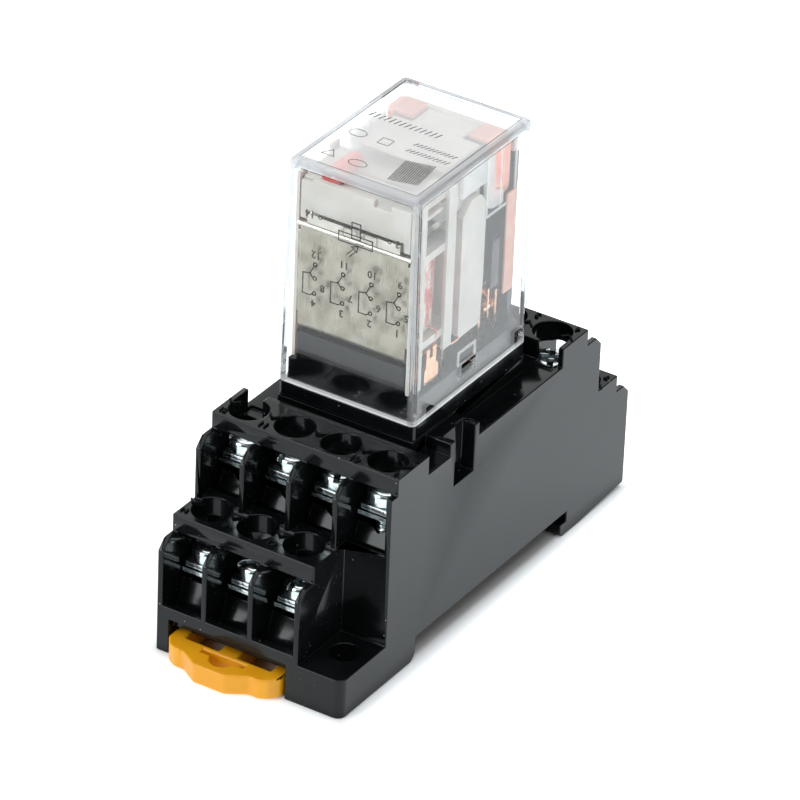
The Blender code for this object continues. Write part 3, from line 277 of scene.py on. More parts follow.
def zinc():
    made = Material("zinc_plated_steel", (0.78, 0.84, 0.86), 0.17, 1.0)
    base = made.vary_colour((0.6, 0.74, 0.76), 1.6, 0.42, 0.62)
    # Lighter edges: rubbed wear and a painted edge highlight.
    made.wear((0.95, 0.96, 0.95), base)
    made.vary_roughness(0.07, 0.7)
    made.bump(made.noise(1.2, 2.0), 0.12, 0.35)
    made.grain(0.12, 0.006, 0.4)
    return made.data


def plated_steel(name, colour, other):
    """Brushed, plated sheet with faint upright streaks."""
    made = Material(name, colour, 0.34, 1.0)
    base = made.vary_colour(other, 2.6)
    # Lighter edges: rubbed wear and a painted edge highlight.
    made.wear(tuple(min(1.0, value * 1.9) for value in colour), base)
    streaks = made.stretched((1.0, 1.0, 0.08))
    made.vary_roughness(0.1, 0.4, streaks)
    made.bump(made.noise(0.3, 3.0, streaks), 0.01, 0.4)
    return made.data


def cream_plastic():
    made = Material("cream_moulding", (0.62, 0.6, 0.565), 0.38, Subsurface_Weight=0.2,
                    Subsurface_Scale=0.002)
    base = made.vary_colour((0.56, 0.535, 0.49), 4.0)
    # Lighter edges: rubbed wear and a painted edge highlight.
    made.wear((0.85, 0.84, 0.8), base)
    made.vary_roughness(0.07, 1.8)
    made.grain(0.25, 0.006, 0.15)
    return made.data


def copper():
    made = Material("copper_alloy", (0.86, 0.5, 0.31), 0.24, 1.0)
    base = made.vary_colour((0.72, 0.36, 0.2), 1.4)
    # Lighter edges: rubbed wear and a painted edge highlight.
    made.wear((0.96, 0.72, 0.55), base)
    made.vary_roughness(0.08, 0.8)
    made.grain(0.15, 0.006, 0.4)
    return made.data


def wire():
    """Turns of enamelled wire: bands run round the coil, with upright white streaks."""
    made = Material("enamelled_wire", (0.6, 0.085, 0.06), 0.3, 0.15, Coat_Weight=0.5)
    bands = made.node("ShaderNodeTexWave", Scale=1.0 / (1.6 * MM), Distortion=0.6,
                      bands_direction="Z")
    made.link(made.place, bands.inputs["Vector"])
    base = made.vary_colour((0.82, 0.24, 0.17), 0.8)
    streak = made.noise(0.9, 3.0, made.stretched((1.0, 1.0, 0.35)))
    base = made.blend(made.ramp(streak, 0.0, 0.85, 0.47, 0.58), base, (0.88, 0.84, 0.8, 1.0))
    made.link(base, made.shader.inputs["Base Color"])
    made.bump(bands.outputs["Fac"], 0.08, 0.8)
    made.vary_roughness(0.08, 1.0)
    return made.data


def red_lamp():
    made = Material("red_lamp", (0.9, 0.07, 0.05), 0.16, Subsurface_Weight=0.4,
                    Subsurface_Scale=0.002, Coat_Weight=0.6, Coat_Roughness=0.05)
    made.vary_colour((0.98, 0.22, 0.16), 2.0)
    made.vary_roughness(0.05, 1.0)
    made.grain(0.4, 0.01, 0.2)
    return made.data


def coloured_plastic(name, colour, other, roughness=0.35):
    made = Material(name, colour, roughness, Subsurface_Weight=0.25, Subsurface_Scale=0.002)
    base = made.vary_colour(other, 2.0)
    # Lighter edges: rubbed wear and a painted edge highlight.
    made.wear(tuple(min(1.0, value * 1.3 + 0.05) for value in other), base)
    made.vary_roughness(0.06, 1.0)
    made.grain(0.3, 0.005, 0.15)
    return made.data


def milky(name, colour, alpha, roughness=0.3):
    """A translucent moulding that the parts behind it show through."""
    made = Material(name, colour, roughness, Alpha=alpha)
    made.vary_colour(tuple(value * 0.9 for value in colour), 3.0)
    made.vary_roughness(0.08, 1.5)
    made.grain(0.4, 0.012, 0.3)
    return made.data


def cover_depths(made):
    """Return how far a point of the cover lies inside its sides, its ends and its top."""
    origin = NODES["relay_cover"].matrix_world.translation
    centre = (COVER_LOW + COVER_HIGH) / 2 * MM - origin
    half = (COVER_HIGH - COVER_LOW) / 2 * MM
    parts = made.node("ShaderNodeSeparateXYZ")
    made.link(made.place, parts.inputs[0])
    x, y, z = parts.outputs
    height = made.maths("SUBTRACT", z, centre.z - half.z)
    lean = made.maths("MULTIPLY", height, COVER_LEAN / (COVER_HIGH.z - COVER_LOW.z))
    across = made.maths("ABSOLUTE", made.maths("SUBTRACT", x, centre.x))
    side = made.maths("SUBTRACT", made.maths("SUBTRACT", half.x, across), lean)
    along = made.maths("ABSOLUTE", made.maths("SUBTRACT", y, centre.y))
    end = made.maths("SUBTRACT", half.y, along)
    top = made.maths("SUBTRACT", 2 * half.z, height)
    return side, end, top, height


def clear_cover():
    """Clear moulding, open to the lamps, with painted light: a grey band and dark lines where two
    walls meet paint the light along the wall edges, and the top lets less light through so it is
    painted paler.
    """
    made = Material("clear_moulding", (0.985, 0.992, 0.992), 0.03, Transmission_Weight=1.0,
                    IOR=1.41)
    base = made.vary_colour((0.97, 0.982, 0.985), 12.0)
    side, end, top, height = cover_depths(made)
    nearer = made.maths("MINIMUM", side, end)
    further = made.maths("MAXIMUM", side, end)
    second = made.maths("MAXIMUM", nearer, made.maths("MINIMUM", further, top))
    # Painted light: a streaky grey band where two walls meet stands in for the light seen along the
    # wall edges.
    painted_edge_band = made.ramp(second, 1.0, 0.0, COVER_EDGE * 0.85 * MM, COVER_EDGE * MM)
    streaks = made.ramp(made.noise(7.0, 2.0), 0.6, 1.0, 0.4, 0.6)
    painted_edge_band = made.maths("MULTIPLY", painted_edge_band, streaks)
    rim = made.ramp(top, 1.0, 0.0, COVER_RIM[0] * MM, COVER_RIM[1] * MM)
    edge = made.blend(rim, (0.62, 0.64, 0.67, 1.0), (0.6, 0.615, 0.635, 1.0))
    base = made.blend(painted_edge_band, base, edge)
    # Painted dark lines at the corner and along the band's inner border.
    inner = made.maths("ABSOLUTE", made.maths("SUBTRACT", second, COVER_EDGE * MM))
    lines = made.maths("MAXIMUM", made.ramp(second, 1.0, 0.0, 0.12 * MM, 0.24 * MM),
                       made.ramp(inner, 1.0, 0.0, 0.05 * MM, 0.13 * MM))
    base = made.blend(made.maths("MULTIPLY", lines, rim), base, (0.2, 0.208, 0.225, 1.0))
    made.link(base, made.shader.inputs["Base Color"])

    # Painted lightening of the top: upward faces let less light through and show the cover's white.
    upward = made.node("ShaderNodeSeparateXYZ")
    made.link(made.node("ShaderNodeNewGeometry").outputs["Normal"], upward.inputs[0])
    clearness = made.ramp(upward.outputs[2], 1.0, TOP_CLEARNESS, 0.6, 0.95)
    lip = made.ramp(height, 0.35, 1.0, COVER_LIP[0] * MM, COVER_LIP[1] * MM)
    # The painted band lets less light through too, more so near the rim, which whitens it.
    painted_veil_share = made.maths("ADD", made.maths("MULTIPLY", rim, 0.45), 0.15)
    painted_veil = made.maths("MULTIPLY", painted_edge_band, painted_veil_share)
    clearness = made.maths("MULTIPLY", clearness, made.maths("SUBTRACT", 1.0, painted_veil))
    made.link(made.maths("MINIMUM", clearness, lip), made.shader.inputs["Transmission Weight"])
    made.vary_roughness(0.015, 6.0)
    made.bump(made.noise(9.0, 1.0), 0.04, 0.1)

    # Shadow and diffuse rays pass straight through. Rays past DEEPEST_RAY bounces see a grey
    # see-through cover, as painted shade along the walls.
    path = made.node("ShaderNodeLightPath")
    deep = made.maths("GREATER_THAN", path.outputs["Ray Depth"], DEEPEST_RAY)
    open_to = made.maths("MAXIMUM", path.outputs["Is Shadow Ray"], path.outputs["Is Diffuse Ray"])
    through = made.node("ShaderNodeBsdfTransparent", Color=(0.97, 0.98, 0.98, 1.0))
    deep_ray_grey_shade = made.node("ShaderNodeBsdfTransparent", Color=(0.68, 0.7, 0.72, 1.0))
    ended = made.node("ShaderNodeMixShader")
    made.link(deep, ended.inputs[0])
    made.link(made.shader.outputs[0], ended.inputs[1])
    made.link(deep_ray_grey_shade.outputs[0], ended.inputs[2])
    mixer = made.node("ShaderNodeMixShader")
    made.link(open_to, mixer.inputs[0])
    made.link(ended.outputs[0], mixer.inputs[1])
    made.link(through.outputs[0], mixer.inputs[2])
    made.link(mixer.outputs[0], made.output.inputs["Surface"])
    return made.data


def print_ink():
    made = Material("grey_print", (0.05, 0.046, 0.042), 0.5)
    made.vary_colour((0.12, 0.115, 0.11), 0.5)
    made.vary_roughness(0.1, 0.6)
    made.grain(0.1, 0.004, 0.3)
    return made.data


BLACK = black_plastic("black_moulding", 0.13, 1.37)
MARKS = black_plastic("dull_black_marks", 0.45, 1.12)
YELLOW = yellow_plastic()
ZINC = zinc()
STEEL = plated_steel("nickel_plated_yoke", (0.41, 0.388, 0.325), (0.29, 0.272, 0.218))
# A brighter copy of the yoke's steel: a painted highlight on the yoke's bend, and the hinge
# spring's bright metal.
BRIGHT_STEEL_AND_HIGHLIGHT = plated_steel("bright_steel_painted_highlight", (0.66, 0.64, 0.58), (0.52, 0.5, 0.44))
CREAM = cream_plastic()
COPPER = copper()
WIRE = wire()
RED = red_lamp()
CLEAR = clear_cover()
INK = print_ink()
ORANGE = coloured_plastic("orange_strip", (0.68, 0.3, 0.22), (0.76, 0.42, 0.33))
PINK = coloured_plastic("flag_red", (0.9, 0.31, 0.24), (0.94, 0.46, 0.38))
MILKY = milky("milky_moulding", (0.93, 0.93, 0.92), 0.5)
# Whitish see-through strips along the edges of clear mouldings: painted light seen along those
# edges.
CLEAR_EDGE_SHEEN = milky("clear_edge_painted_sheen", (0.95, 0.96, 0.97), 0.35, 0.2)


# ---- Mesh building blocks ---------------------------------------------------------------


def add_box(work, low, high):
    """Add a closed box, given in millimetres, to a bmesh."""
    low, high = Vector(low) * MM, Vector(high) * MM
    place = Matrix.Translation((low + high) / 2) @ Matrix.Diagonal((*(high - low), 1.0))
    bmesh.ops.create_cube(work, size=1.0, matrix=place)


def add_rod(work, start, end, radius, segments=16):
    """Add a closed round rod between two points."""
    start, end = Vector(start) * MM, Vector(end) * MM
    turn = (end - start).to_track_quat("Z", "Y").to_matrix().to_4x4()
    bmesh.ops.create_cone(work, cap_ends=True, segments=segments, radius1=radius * MM,
                          radius2=radius * MM, depth=(end - start).length,
                          matrix=Matrix.Translation((start + end) / 2) @ turn)


def add_prism(work, outline, start, end, axis):
    """Extrude an outline along X (outline is Y, Z), Y (X, Z) or Z (X, Y)."""
    def at(point, level):
        first, second = point
        return {"X": (level, first, second), "Y": (first, level, second),
                "Z": (first, second, level)}[axis]
    rings = [[work.verts.new(Vector(at(point, level)) * MM) for point in outline]
             for level in (start, end)]
    count = len(outline)
    work.faces.new(rings[0])
    work.faces.new(rings[1])
    for index in range(count):
        after = (index + 1) % count
        work.faces.new((rings[0][index], rings[0][after], rings[1][after], rings[1][index]))


def add_turned(work, profile, place, segments=32):
    """Turn a profile of radius and height about an upright axis at a place."""
    verts = [work.verts.new((Vector((radius, 0, height)) + Vector(place)) * MM)
             for radius, height in profile]
    edges = [work.edges.new(pair) for pair in zip(verts, verts[1:])]
    bmesh.ops.spin(work, geom=verts + edges, axis=(0, 0, 1), cent=Vector(place) * MM,
                   steps=segments, angle=2 * math.pi, use_merge=True)
    bmesh.ops.remove_doubles(work, verts=work.verts, dist=1e-7)


def arc(centre, radius, start, end, steps=6):
    """Return points on an arc between two angles in degrees."""
    points = []
    for step in range(steps + 1):
        angle = math.radians(start + (end - start) * step / steps)
        points.append((centre[0] + radius * math.cos(angle),
                       centre[1] + radius * math.sin(angle)))
    return points


def rounded_rect(low, high, radius, steps=5):
    """Return a rectangle's outline with round corners, anticlockwise."""
    (x0, y0), (x1, y1) = low, high
    return (arc((x1 - radius, y0 + radius), radius, -90, 0, steps)
            + arc((x1 - radius, y1 - radius), radius, 0, 90, steps)
            + arc((x0 + radius, y1 - radius), radius, 90, 180, steps)
            + arc((x0 + radius, y0 + radius), radius, 180, 270, steps))


def shaded(mesh, material, sharp=35):
    mesh.materials.clear()
    mesh.materials.append(material)
    mesh.shade_smooth()
    mesh.set_sharp_from_angle(angle=math.radians(sharp))


def mesh_of(name, work, material):
    bmesh.ops.recalc_face_normals(work, faces=work.faces)
    mesh = bpy.data.meshes.new(name)
    work.to_mesh(mesh)
    work.free()
    shaded(mesh, material)
    return mesh


def bevel(item, width, segments=2, angle=35):
    """Round an object's sharp edges."""
    modifier = item.modifiers.new("edges", "BEVEL")
    modifier.width = width * MM
    modifier.segments = segments
    modifier.limit_method = "ANGLE"
    modifier.angle_limit = math.radians(angle)
    modifier.use_clamp_overlap = False
    modifier.harden_normals = True


def piece(name, mesh, body, width=0.0, replaces=()):
    """Put a mesh in the scene as a piece that rides on a body."""
    item = bpy.data.objects.new(name, mesh)
    SCENE.collection.objects.link(item)
    if width:
        bevel(item, width)
    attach(item, body)
    for node in replaces:
        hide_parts(node)
    return item


def cleaned_copy(node, material):
    """Return a CAD node's mesh with its triangles merged into flat faces."""
    work = bmesh.new()
    work.from_mesh(NODES[node].data)
    bmesh.ops.remove_doubles(work, verts=work.verts, dist=2e-6)
    bmesh.ops.dissolve_limit(work, angle_limit=math.radians(1.0), verts=work.verts,
                             edges=work.edges)
    return mesh_of(f"{node}_visual", work, material)


# ---- Socket -----------------------------------------------------------------------------


def build_socket():
    piece("socket_shell", cleaned_copy("socket_body", BLACK), "socket", 0.16,
          ["socket_body"])
    piece("hook_shell", cleaned_copy("din_rail_hook", YELLOW), "rail_hook",
          0.28, ["din_rail_hook"])


def screw_mesh():
    """A pan-head screw with a cross recess crossed by a wide slot, and a threaded shank."""
    head, radius = SCREW_HEAD, SCREW_RADIUS
    profile = [(0.0, head)]
    profile += [(radius - SCREW_ROUND + x, head - SCREW_ROUND + z)
                for x, z in reversed(arc((0, 0), SCREW_ROUND, 0, 90, 5))]
    profile += [(radius, 0.25), (radius - 0.2, 0.0), (SCREW_CREST + 0.05, 0.0)]
    height = 0.0
    while height > -SCREW_LENGTH:
        profile += [(SCREW_CREST, height - 0.1), (SCREW_ROOT, height - SCREW_PITCH / 2),
                    (SCREW_CREST, height - SCREW_PITCH + 0.1)]
        height -= SCREW_PITCH
    profile += [(1.1, height - 0.2), (0.0, height - 0.2)]
    work = bmesh.new()
    add_turned(work, profile, (0, 0, 0), 40)
    blank = bpy.data.objects.new("screw_blank", mesh_of("terminal_screw_visual", work, ZINC))
    SCENE.collection.objects.link(blank)
    tool = bmesh.new()
    add_box(tool, (-3.0, -SLOT_HALF, head - SCREW_ROUND), (3.0, SLOT_HALF, head + 1))
    cross = bmesh.new()
    add_box(cross, (-SLOT_HALF, -CROSS_HALF, head - 1.35), (SLOT_HALF, CROSS_HALF, head + 1))
    add_box(cross, (-CROSS_HALF, -SLOT_HALF - 0.001, head - 1.351),
            (CROSS_HALF, SLOT_HALF + 0.001, head + 1.01))
    for index, cutter in enumerate((tool, cross)):
        knife = bpy.data.objects.new(f"screw_knife_{index}", mesh_of("knife", cutter, ZINC))
        SCENE.collection.objects.link(knife)
        modifier = blank.modifiers.new("cut", "BOOLEAN")
        modifier.object = knife
        modifier.operation = "DIFFERENCE"
        modifier.solver = "EXACT"
        modifier.use_self = True
    view = bpy.context.evaluated_depsgraph_get()
    mesh = bpy.data.meshes.new_from_object(blank.evaluated_get(view))
    for item in [item for item in SCENE.collection.objects if item.name.startswith("screw_")]:
        bpy.data.objects.remove(item, do_unlink=True)
    shaded(mesh, ZINC)
    return mesh


def clamp_mesh():
    """A saddle clamp: a rounded square washer with turned-down lips at front and back."""
    work = bmesh.new()
    half = CLAMP_HALF
    outline = rounded_rect((-half, -half), (half, half), 0.5)
    add_prism(work, outline, -CLAMP + 0.35, -0.04, "Z")
    for side in (-1, 1):
        inner = side * (half - CLAMP_LIP)
        lip = [(side * half, -0.3), (inner, -0.3), (inner, -CLAMP), (side * half, -CLAMP + 0.15)]
        add_prism(work, lip, -half + 0.3, half - 0.3, "X")
    return mesh_of("clamp_plate_visual", work, ZINC)


def build_terminals():
    screw, clamp = screw_mesh(), clamp_mesh()
    for number in range(1, 15):
        x, y, z = screw_place(number)
        turn = Matrix.Rotation(math.radians(37 * number % 180), 4, "Z")
        item = bpy.data.objects.new(f"screw_{number}", screw)
        item.matrix_world = Matrix.Translation(Vector((x, y, z)) * MM) @ turn
        SCENE.collection.objects.link(item)
        bevel(item, 0.07, 1)
        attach(item, f"screw_{number}")
        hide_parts(f"terminal_screw_{number}")
        plate = bpy.data.objects.new(f"clamp_{number}", clamp)
        plate.location = Vector((x, y, z)) * MM
        SCENE.collection.objects.link(plate)
        bevel(plate, 0.1)
        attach(plate, "socket")


# ---- Marks ------------------------------------------------------------------------------


def text_mesh(text, size, thickness):
    """Return plain numerals as a mesh lying in XY, centred on the origin."""
    curve = bpy.data.curves.new("numeral", "FONT")
    curve.body = text
    curve.size = size * MM
    curve.extrude = thickness / 2 * MM
    curve.resolution_u = 3
    curve.offset = size * 0.02 * MM
    curve.align_x = "CENTER"
    curve.align_y = "CENTER"
    holder = bpy.data.objects.new("numeral", curve)
    SCENE.collection.objects.link(holder)
    view = bpy.context.evaluated_depsgraph_get()
    mesh = bpy.data.meshes.new_from_object(holder.evaluated_get(view))
    bpy.data.objects.remove(holder, do_unlink=True)
    return mesh


class Print:
    """Strokes, rings and numerals laid on one plane, in that plane's own X and Y."""

    def __init__(self, place, turn, thickness=0.04):
        self.work = bmesh.new()
        self.place = Matrix.Translation(Vector(place) * MM) @ turn
        self.thickness = thickness * MM

    def stroke(self, start, end, width=0.17):
        start, end = Vector((*start, 0)) * MM, Vector((*end, 0)) * MM
        along = end - start
        turn = Matrix.Rotation(math.atan2(along.y, along.x), 4, "Z")
        size = Matrix.Diagonal((along.length + width * MM, width * MM, self.thickness, 1.0))
        bmesh.ops.create_cube(self.work, size=1.0, matrix=(
            self.place @ Matrix.Translation((start + end) / 2) @ turn @ size))

    def path(self, points, width=0.17):
        for start, end in zip(points, points[1:]):
            self.stroke(start, end, width)

    def ring(self, centre, radius, width=0.17, stretch=1.0, segments=20):
        points = [(centre[0] + stretch * radius * math.cos(2 * math.pi * step / segments),
                   centre[1] + radius * math.sin(2 * math.pi * step / segments))
                  for step in range(segments + 1)]
        self.path(points, width)

    def number(self, text, centre, size, half_turn=False):
        mesh = text_mesh(text, size, self.thickness / MM)
        spin = Matrix.Rotation(math.pi if half_turn else 0.0, 4, "Z")
        mesh.transform(self.place @ Matrix.Translation(Vector((*centre, 0)) * MM) @ spin)
        self.work.from_mesh(mesh)
        bpy.data.meshes.remove(mesh)


def build_cover_print():
    """The wiring diagram on the front wall, and plain marks under the top."""
    upright = Matrix.Rotation(math.pi / 2, 4, "X")
    front = Print((0, COVER_LOW.y - 0.03, 0), upright)
    for number, x in enumerate((7.7, 3.35, -1.05, -5.45), start=1):
        for z in (52.4, 50.3, 48.0):
            front.ring((x, z), 0.26, 0.14)
        front.path([(x - 0.1, 52.1), (x - 0.75, 50.9), (x - 1.85, 50.7), (x - 1.85, 47.6),
                    (x - 0.7, 47.6), (x - 0.2, 47.9)])
        front.path([(x - 0.75, 50.9), (x - 0.35, 50.4)])
        front.number(str(number), (x - 0.1, 46.5), NUMERAL, True)
        front.number(str(number + 4), (x + 1.25, 49.2), NUMERAL, True)
        front.number(str(number + 8), (x + 0.1, 53.9), NUMERAL, True)
    coil = [(0.05, 60.7), (1.4, 60.7), (1.4, 58.35), (0.05, 58.35), (0.05, 60.7)]
    lamp = [(-1.95, 58.8), (3.3, 58.8), (3.3, 57.4), (-1.95, 57.4), (-1.95, 58.8)]
    front.path(coil)
    front.path(lamp)
    front.path([(1.4, COIL_LINE), (5.6, COIL_LINE)])
    front.path([(0.05, COIL_LINE), (-4.6, COIL_LINE)])
    front.path([(0.1, 57.0), (1.1, 57.4), (0.9, 56.4), (0.1, 57.0)])
    front.path([(0.2, 56.5), (-0.6, 55.7)])
    front.path([(0.6, 56.3), (-0.1, 55.5)])
    for x, text in ((5.9, "13"), (-4.9, "14")):
        front.ring((x, COIL_LINE), 0.24, 0.1)
        front.number(text, (x + math.copysign(1.6, x), COIL_LINE + 0.1), NUMERAL, True)
    piece("front_print", mesh_of("front_print", front.work, INK), "relay")

    top = Print((0, 0, COVER_HIGH.z), Matrix.Identity(4), 0.03)
    for step in range(14):
        x = 2.9 + 0.3 * step
        top.stroke((x, -3.9 + 0.07 * step), (x + 0.7, -9.4 + 0.07 * step), 0.16)
    top.ring((-6.3, -1.3), 0.9, 0.1, 1.4)
    top.ring((-1.9, -8.2), 0.8, 0.1, 1.7)
    top.path([(-7.3, -8.6), (-6.4, -7.0), (-5.4, -8.6), (-7.3, -8.6)], 0.1)
    top.path([(-2.9, -0.4), (-2.9, -2.0), (-1.2, -2.0), (-1.2, -0.4), (-2.9, -0.4)], 0.1)
    for row, (left, right) in enumerate(((-7.8, 2.6), (1.4, 7.4), (1.4, 7.4))):
        y = (3.6, 0.2, -1.7)[row]
        x = left
        while x < right:
            top.stroke((x, y), (x + 0.35, y + (1.1 if row == 0 else 0.7)), 0.16)
            x += 0.8 if row == 0 else 0.6
    piece("top_print", mesh_of("top_print", top.work, INK), "relay")


def chevron(marks, x, y, side):
    """Add a raised tick whose corner points along the socket."""
    marks.stroke((x - side * 0.75, y + 0.75), (x, y), 0.26)
    marks.stroke((x, y), (x + side * 0.75, y + 0.75), 0.26)


def build_socket_marks():
    """Raised numerals and chevrons beside the wells, alike at both ends."""
    middle = (SOCKET_LOW.y + SOCKET_HIGH.y) / 2
    upper = ((-13.6, -7.2, 7.25, 13.7), (("12", "11", "10", "9"), ("4", "3", "2", "1")))
    lower = ((-13.9, -7.4, 0.0), (("14", "8", "13"), ("7", "6", "5")))
    for tier, height, wells, (places, names) in (
            ("upper", SOCKET_TERRACE, UPPER_WELLS, upper),
            ("lower", SOCKET_STEP, LOWER_WELLS, lower)):
        for end, turn in enumerate((0.0, math.pi)):
            marks = Print((0, middle, height), Matrix.Rotation(turn, 4, "Z"), MARK_HEIGHT)
            for x, text in zip(places, names[end]):
                marks.number(text, (x, wells - 2.3), 1.6 if abs(x) < 10 else 1.2)
            for x in places if tier == "lower" else places + (0.0,):
                chevron(marks, x, wells - 0.2, 1)
            name = f"{tier}_marks_{('near', 'far')[end]}"
            piece(name, mesh_of(name, marks.work, MARKS), "socket")


# ---- Inside the relay -------------------------------------------------------------------


def simple_piece(name, boxes, material, width, body="relay"):
    """A piece made of one or more rounded boxes."""
    work = bmesh.new()
    for low, high in boxes:
        add_box(work, low, high)
    return piece(name, mesh_of(name, work, material), body, width)


def tube_mesh(name, points, radius, material):
    """Return the mesh of a round wire led through points."""
    curve = bpy.data.curves.new(name, "CURVE")
    curve.dimensions = "3D"
    curve.bevel_depth = radius * MM
    curve.bevel_resolution = 3
    curve.use_fill_caps = True
    spline = curve.splines.new("NURBS")
    spline.points.add(len(points) - 1)
    for point, place in zip(spline.points, points):
        point.co = (*(Vector(place) * MM), 1.0)
    spline.use_endpoint_u = True
    spline.order_u = 4
    spline.resolution_u = 6
    holder = bpy.data.objects.new(name, curve)
    SCENE.collection.objects.link(holder)
    view = bpy.context.evaluated_depsgraph_get()
    mesh = bpy.data.meshes.new_from_object(holder.evaluated_get(view))
    bpy.data.objects.remove(holder, do_unlink=True)
    shaded(mesh, material)
    return mesh


def build_front():
    """The white head above the yoke, the yoke's bend as a painted highlight in a brighter copy of
    its steel, and its lower tabs.
    """
    front = COVER_LOW.y + COVER_WALL
    work = bmesh.new()
    panel = [(-8.6, 58.2), (-7.5, 58.2), (-7.5, 59.5), (7.5, 59.5), (7.5, 58.2), (8.6, 58.2),
             (8.6, 64.4), (5.4, 64.4), (5.4, 63.5), (2.8, 63.5), (2.8, 64.4), (-6.8, 64.4),
             (-6.8, 63.9), (-8.6, 63.9)]
    add_prism(work, panel, front + 0.35, front + 1.3, "Y")
    piece("coil_head", mesh_of("coil_head", work, CREAM), "relay", 0.15)
    roof = [((-8.6, front + 1.0, 63.6), (-5.9, front + 9.5, 64.2)),
            ((5.9, front + 1.0, 63.6), (8.6, front + 9.5, 64.2)),
            ((-4.0, front + 1.0, 62.9), (5.6, front + 5.5, 63.4))]
    simple_piece("coil_roof", roof, CREAM, 0.15)
    shelf = [((-8.6, front + 1.2, 61.9), (8.6, -4.3, 62.6)), ((-6.8, -0.6, 64.3), (6.8, 8.4, 64.8)),
             ((-4.4, 8.4, 64.0), (3.6, 13.2, 64.5)), ((-8.6, 13.3, 62.7), (8.6, 14.3, 64.6))]
    simple_piece("top_plate", shelf, CREAM, 0.2)
    work = bmesh.new()
    # Painted highlight: the yoke's bend, a rod in the brighter copy of the yoke's steel.
    add_rod(work, (-8.9, front + 0.5, YOKE_BEND), (8.9, front + 0.5, YOKE_BEND), 0.4, 14)
    piece("yoke_bend_painted_highlight", mesh_of("yoke_bend_painted_highlight", work, BRIGHT_STEEL_AND_HIGHLIGHT), "relay", 0.08)
    hinge = [((-7.2, front + 0.05, 57.9), (7.2, front + 0.28, 59.3))]
    simple_piece("hinge_spring", hinge, BRIGHT_STEEL_AND_HIGHLIGHT, 0.06)
    tabs = [((side * 8.55 - 0.2, front + 0.25, 44.0), (side * 8.55 + 0.2, front + 0.9, 56.4))
            for side in (-1, 1)]
    simple_piece("yoke_ears", tabs, STEEL, 0.12)


def build_side_parts():
    """Parts seen through the cover's sides, alike on both sides."""
    for side, tag in ((1, "right"), (-1, "left")):
        def across(inner, outer):
            return sorted((side * inner, side * outer))
        low, high = across(8.0, 8.75)
        arm = [(0.4, 61.3), (6.5, 61.3)] + arc((8.6, 58.4), 2.0, 160, 265, 5)
        arm += [(10.9, 56.2), (10.9, 58.4)] + arc((10.0, 60.4), 1.6, 260, 180, 4)
        arm += [(8.4, 64.9), (0.4, 64.9)]
        work = bmesh.new()
        add_prism(work, arm, low, high, "X")
        piece(f"guide_arm_{tag}", mesh_of(f"guide_arm_{tag}", work, MILKY), "relay",
              0.2)

        low, high = across(8.98, 9.3)
        simple_piece(f"side_strip_{tag}", [((low, 11.0, 42.2), (high, 13.3, 57.6))], ORANGE,
                     0.1)
        inner, outer = across(8.95, 9.15)
        # The clear pocket's edges, drawn as whitish strips: painted light along them.
        rails = [((inner, 5.9, 56.2), (outer, 6.3, 65.6)), ((inner, 9.3, 56.2), (outer, 9.6, 65.6)),
                 ((inner, 12.9, 56.2), (outer, 13.3, 65.6)),
                 ((inner, 6.0, 56.0), (outer, 13.2, 56.4))]
        simple_piece(f"pocket_rails_{tag}", rails, CLEAR_EDGE_SHEEN, 0.08)
        inner, outer = across(4.4, 7.8)
        work = bmesh.new()
        lever = rounded_rect((8.9, 57.2), (12.9, 65.5), 0.9)
        add_prism(work, lever, side * 7.8 - 0.5, side * 7.8 + 0.5, "X")
        add_box(work, (inner, 9.2, 64.5), (outer, 12.9, 65.2))
        for step in range(6):
            add_box(work, (inner + 0.3, 9.45 + 0.6 * step, 65.1),
                    (outer - 0.3, 9.7 + 0.6 * step, 65.45))
        piece(f"flag_{tag}", mesh_of(f"flag_{tag}", work, PINK), "relay", 0.15)

        inner, outer = across(8.5, 8.95)
        work = bmesh.new()
        lug = [(-7.7, 36.75), (-4.3, 36.75), (-4.3, 39.0), (-4.9, 39.5), (-4.9, 42.1), (-5.8, 42.1),
               (-5.8, 40.6), (-6.5, 40.6), (-6.5, 42.1), (-7.3, 42.1), (-7.3, 39.5), (-7.7, 39.0)]
        add_prism(work, lug, inner, outer, "X")
        piece(f"coil_lug_{tag}", mesh_of(f"coil_lug_{tag}", work, COPPER), "relay",
              0.08)
        name = f"coil_lead_{tag}"
        points = [(side * 8.7, -5.4, 41.6), (side * 8.3, -5.4, 42.2), (side * 8.95, -4.6, 43.2),
                  (side * 8.95, -5.2, 44.6), (side * 6.0, -6.4, 45.4), (side * 3.6, -7.6, 45.8)]
        piece(name, tube_mesh(name, points, 0.16, WIRE), "relay")

        # The latch window's frame, drawn as whitish strips: painted light along its clear edges.
        window_x = across(9.68, 9.86)
        y0, y1, z0, z1 = -0.9, 3.7, 36.7, 39.0
        frame_bars = [((window_x[0], y0, z0), (window_x[1], y0 + 0.5, z1)),
                      ((window_x[0], y1 - 0.5, z0), (window_x[1], y1, z1)),
                      ((window_x[0], y0, z1 - 0.5), (window_x[1], y1, z1))]
        simple_piece(f"latch_frame_{tag}", frame_bars, CLEAR_EDGE_SHEEN, 0.06)


def build_pigtails():
    """The flexible leads from the common blades to the moving springs."""
    for number in range(1, 5):
        low, high = node_box(f"common_pin_{number}")
        x = (low.x + high.x) / 2
        points = [(x, high.y + 0.15, 38.6), (x, high.y + 0.9, 38.9), (x + 0.4, 0.6, 38.2),
                  (x + 0.5, 3.6, 38.1), (x + 0.4, 6.6, 39.0), (x + 0.1, 9.2, 41.2),
                  (x, 9.75, 42.6)]
        name = f"pigtail_{number}"
        lead = bpy.data.objects.new(name, tube_mesh(name, points, 0.24, COPPER))
        SCENE.collection.objects.link(lead)
        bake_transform(lead)


# ---- Stage, light and camera ------------------------------------------------------------


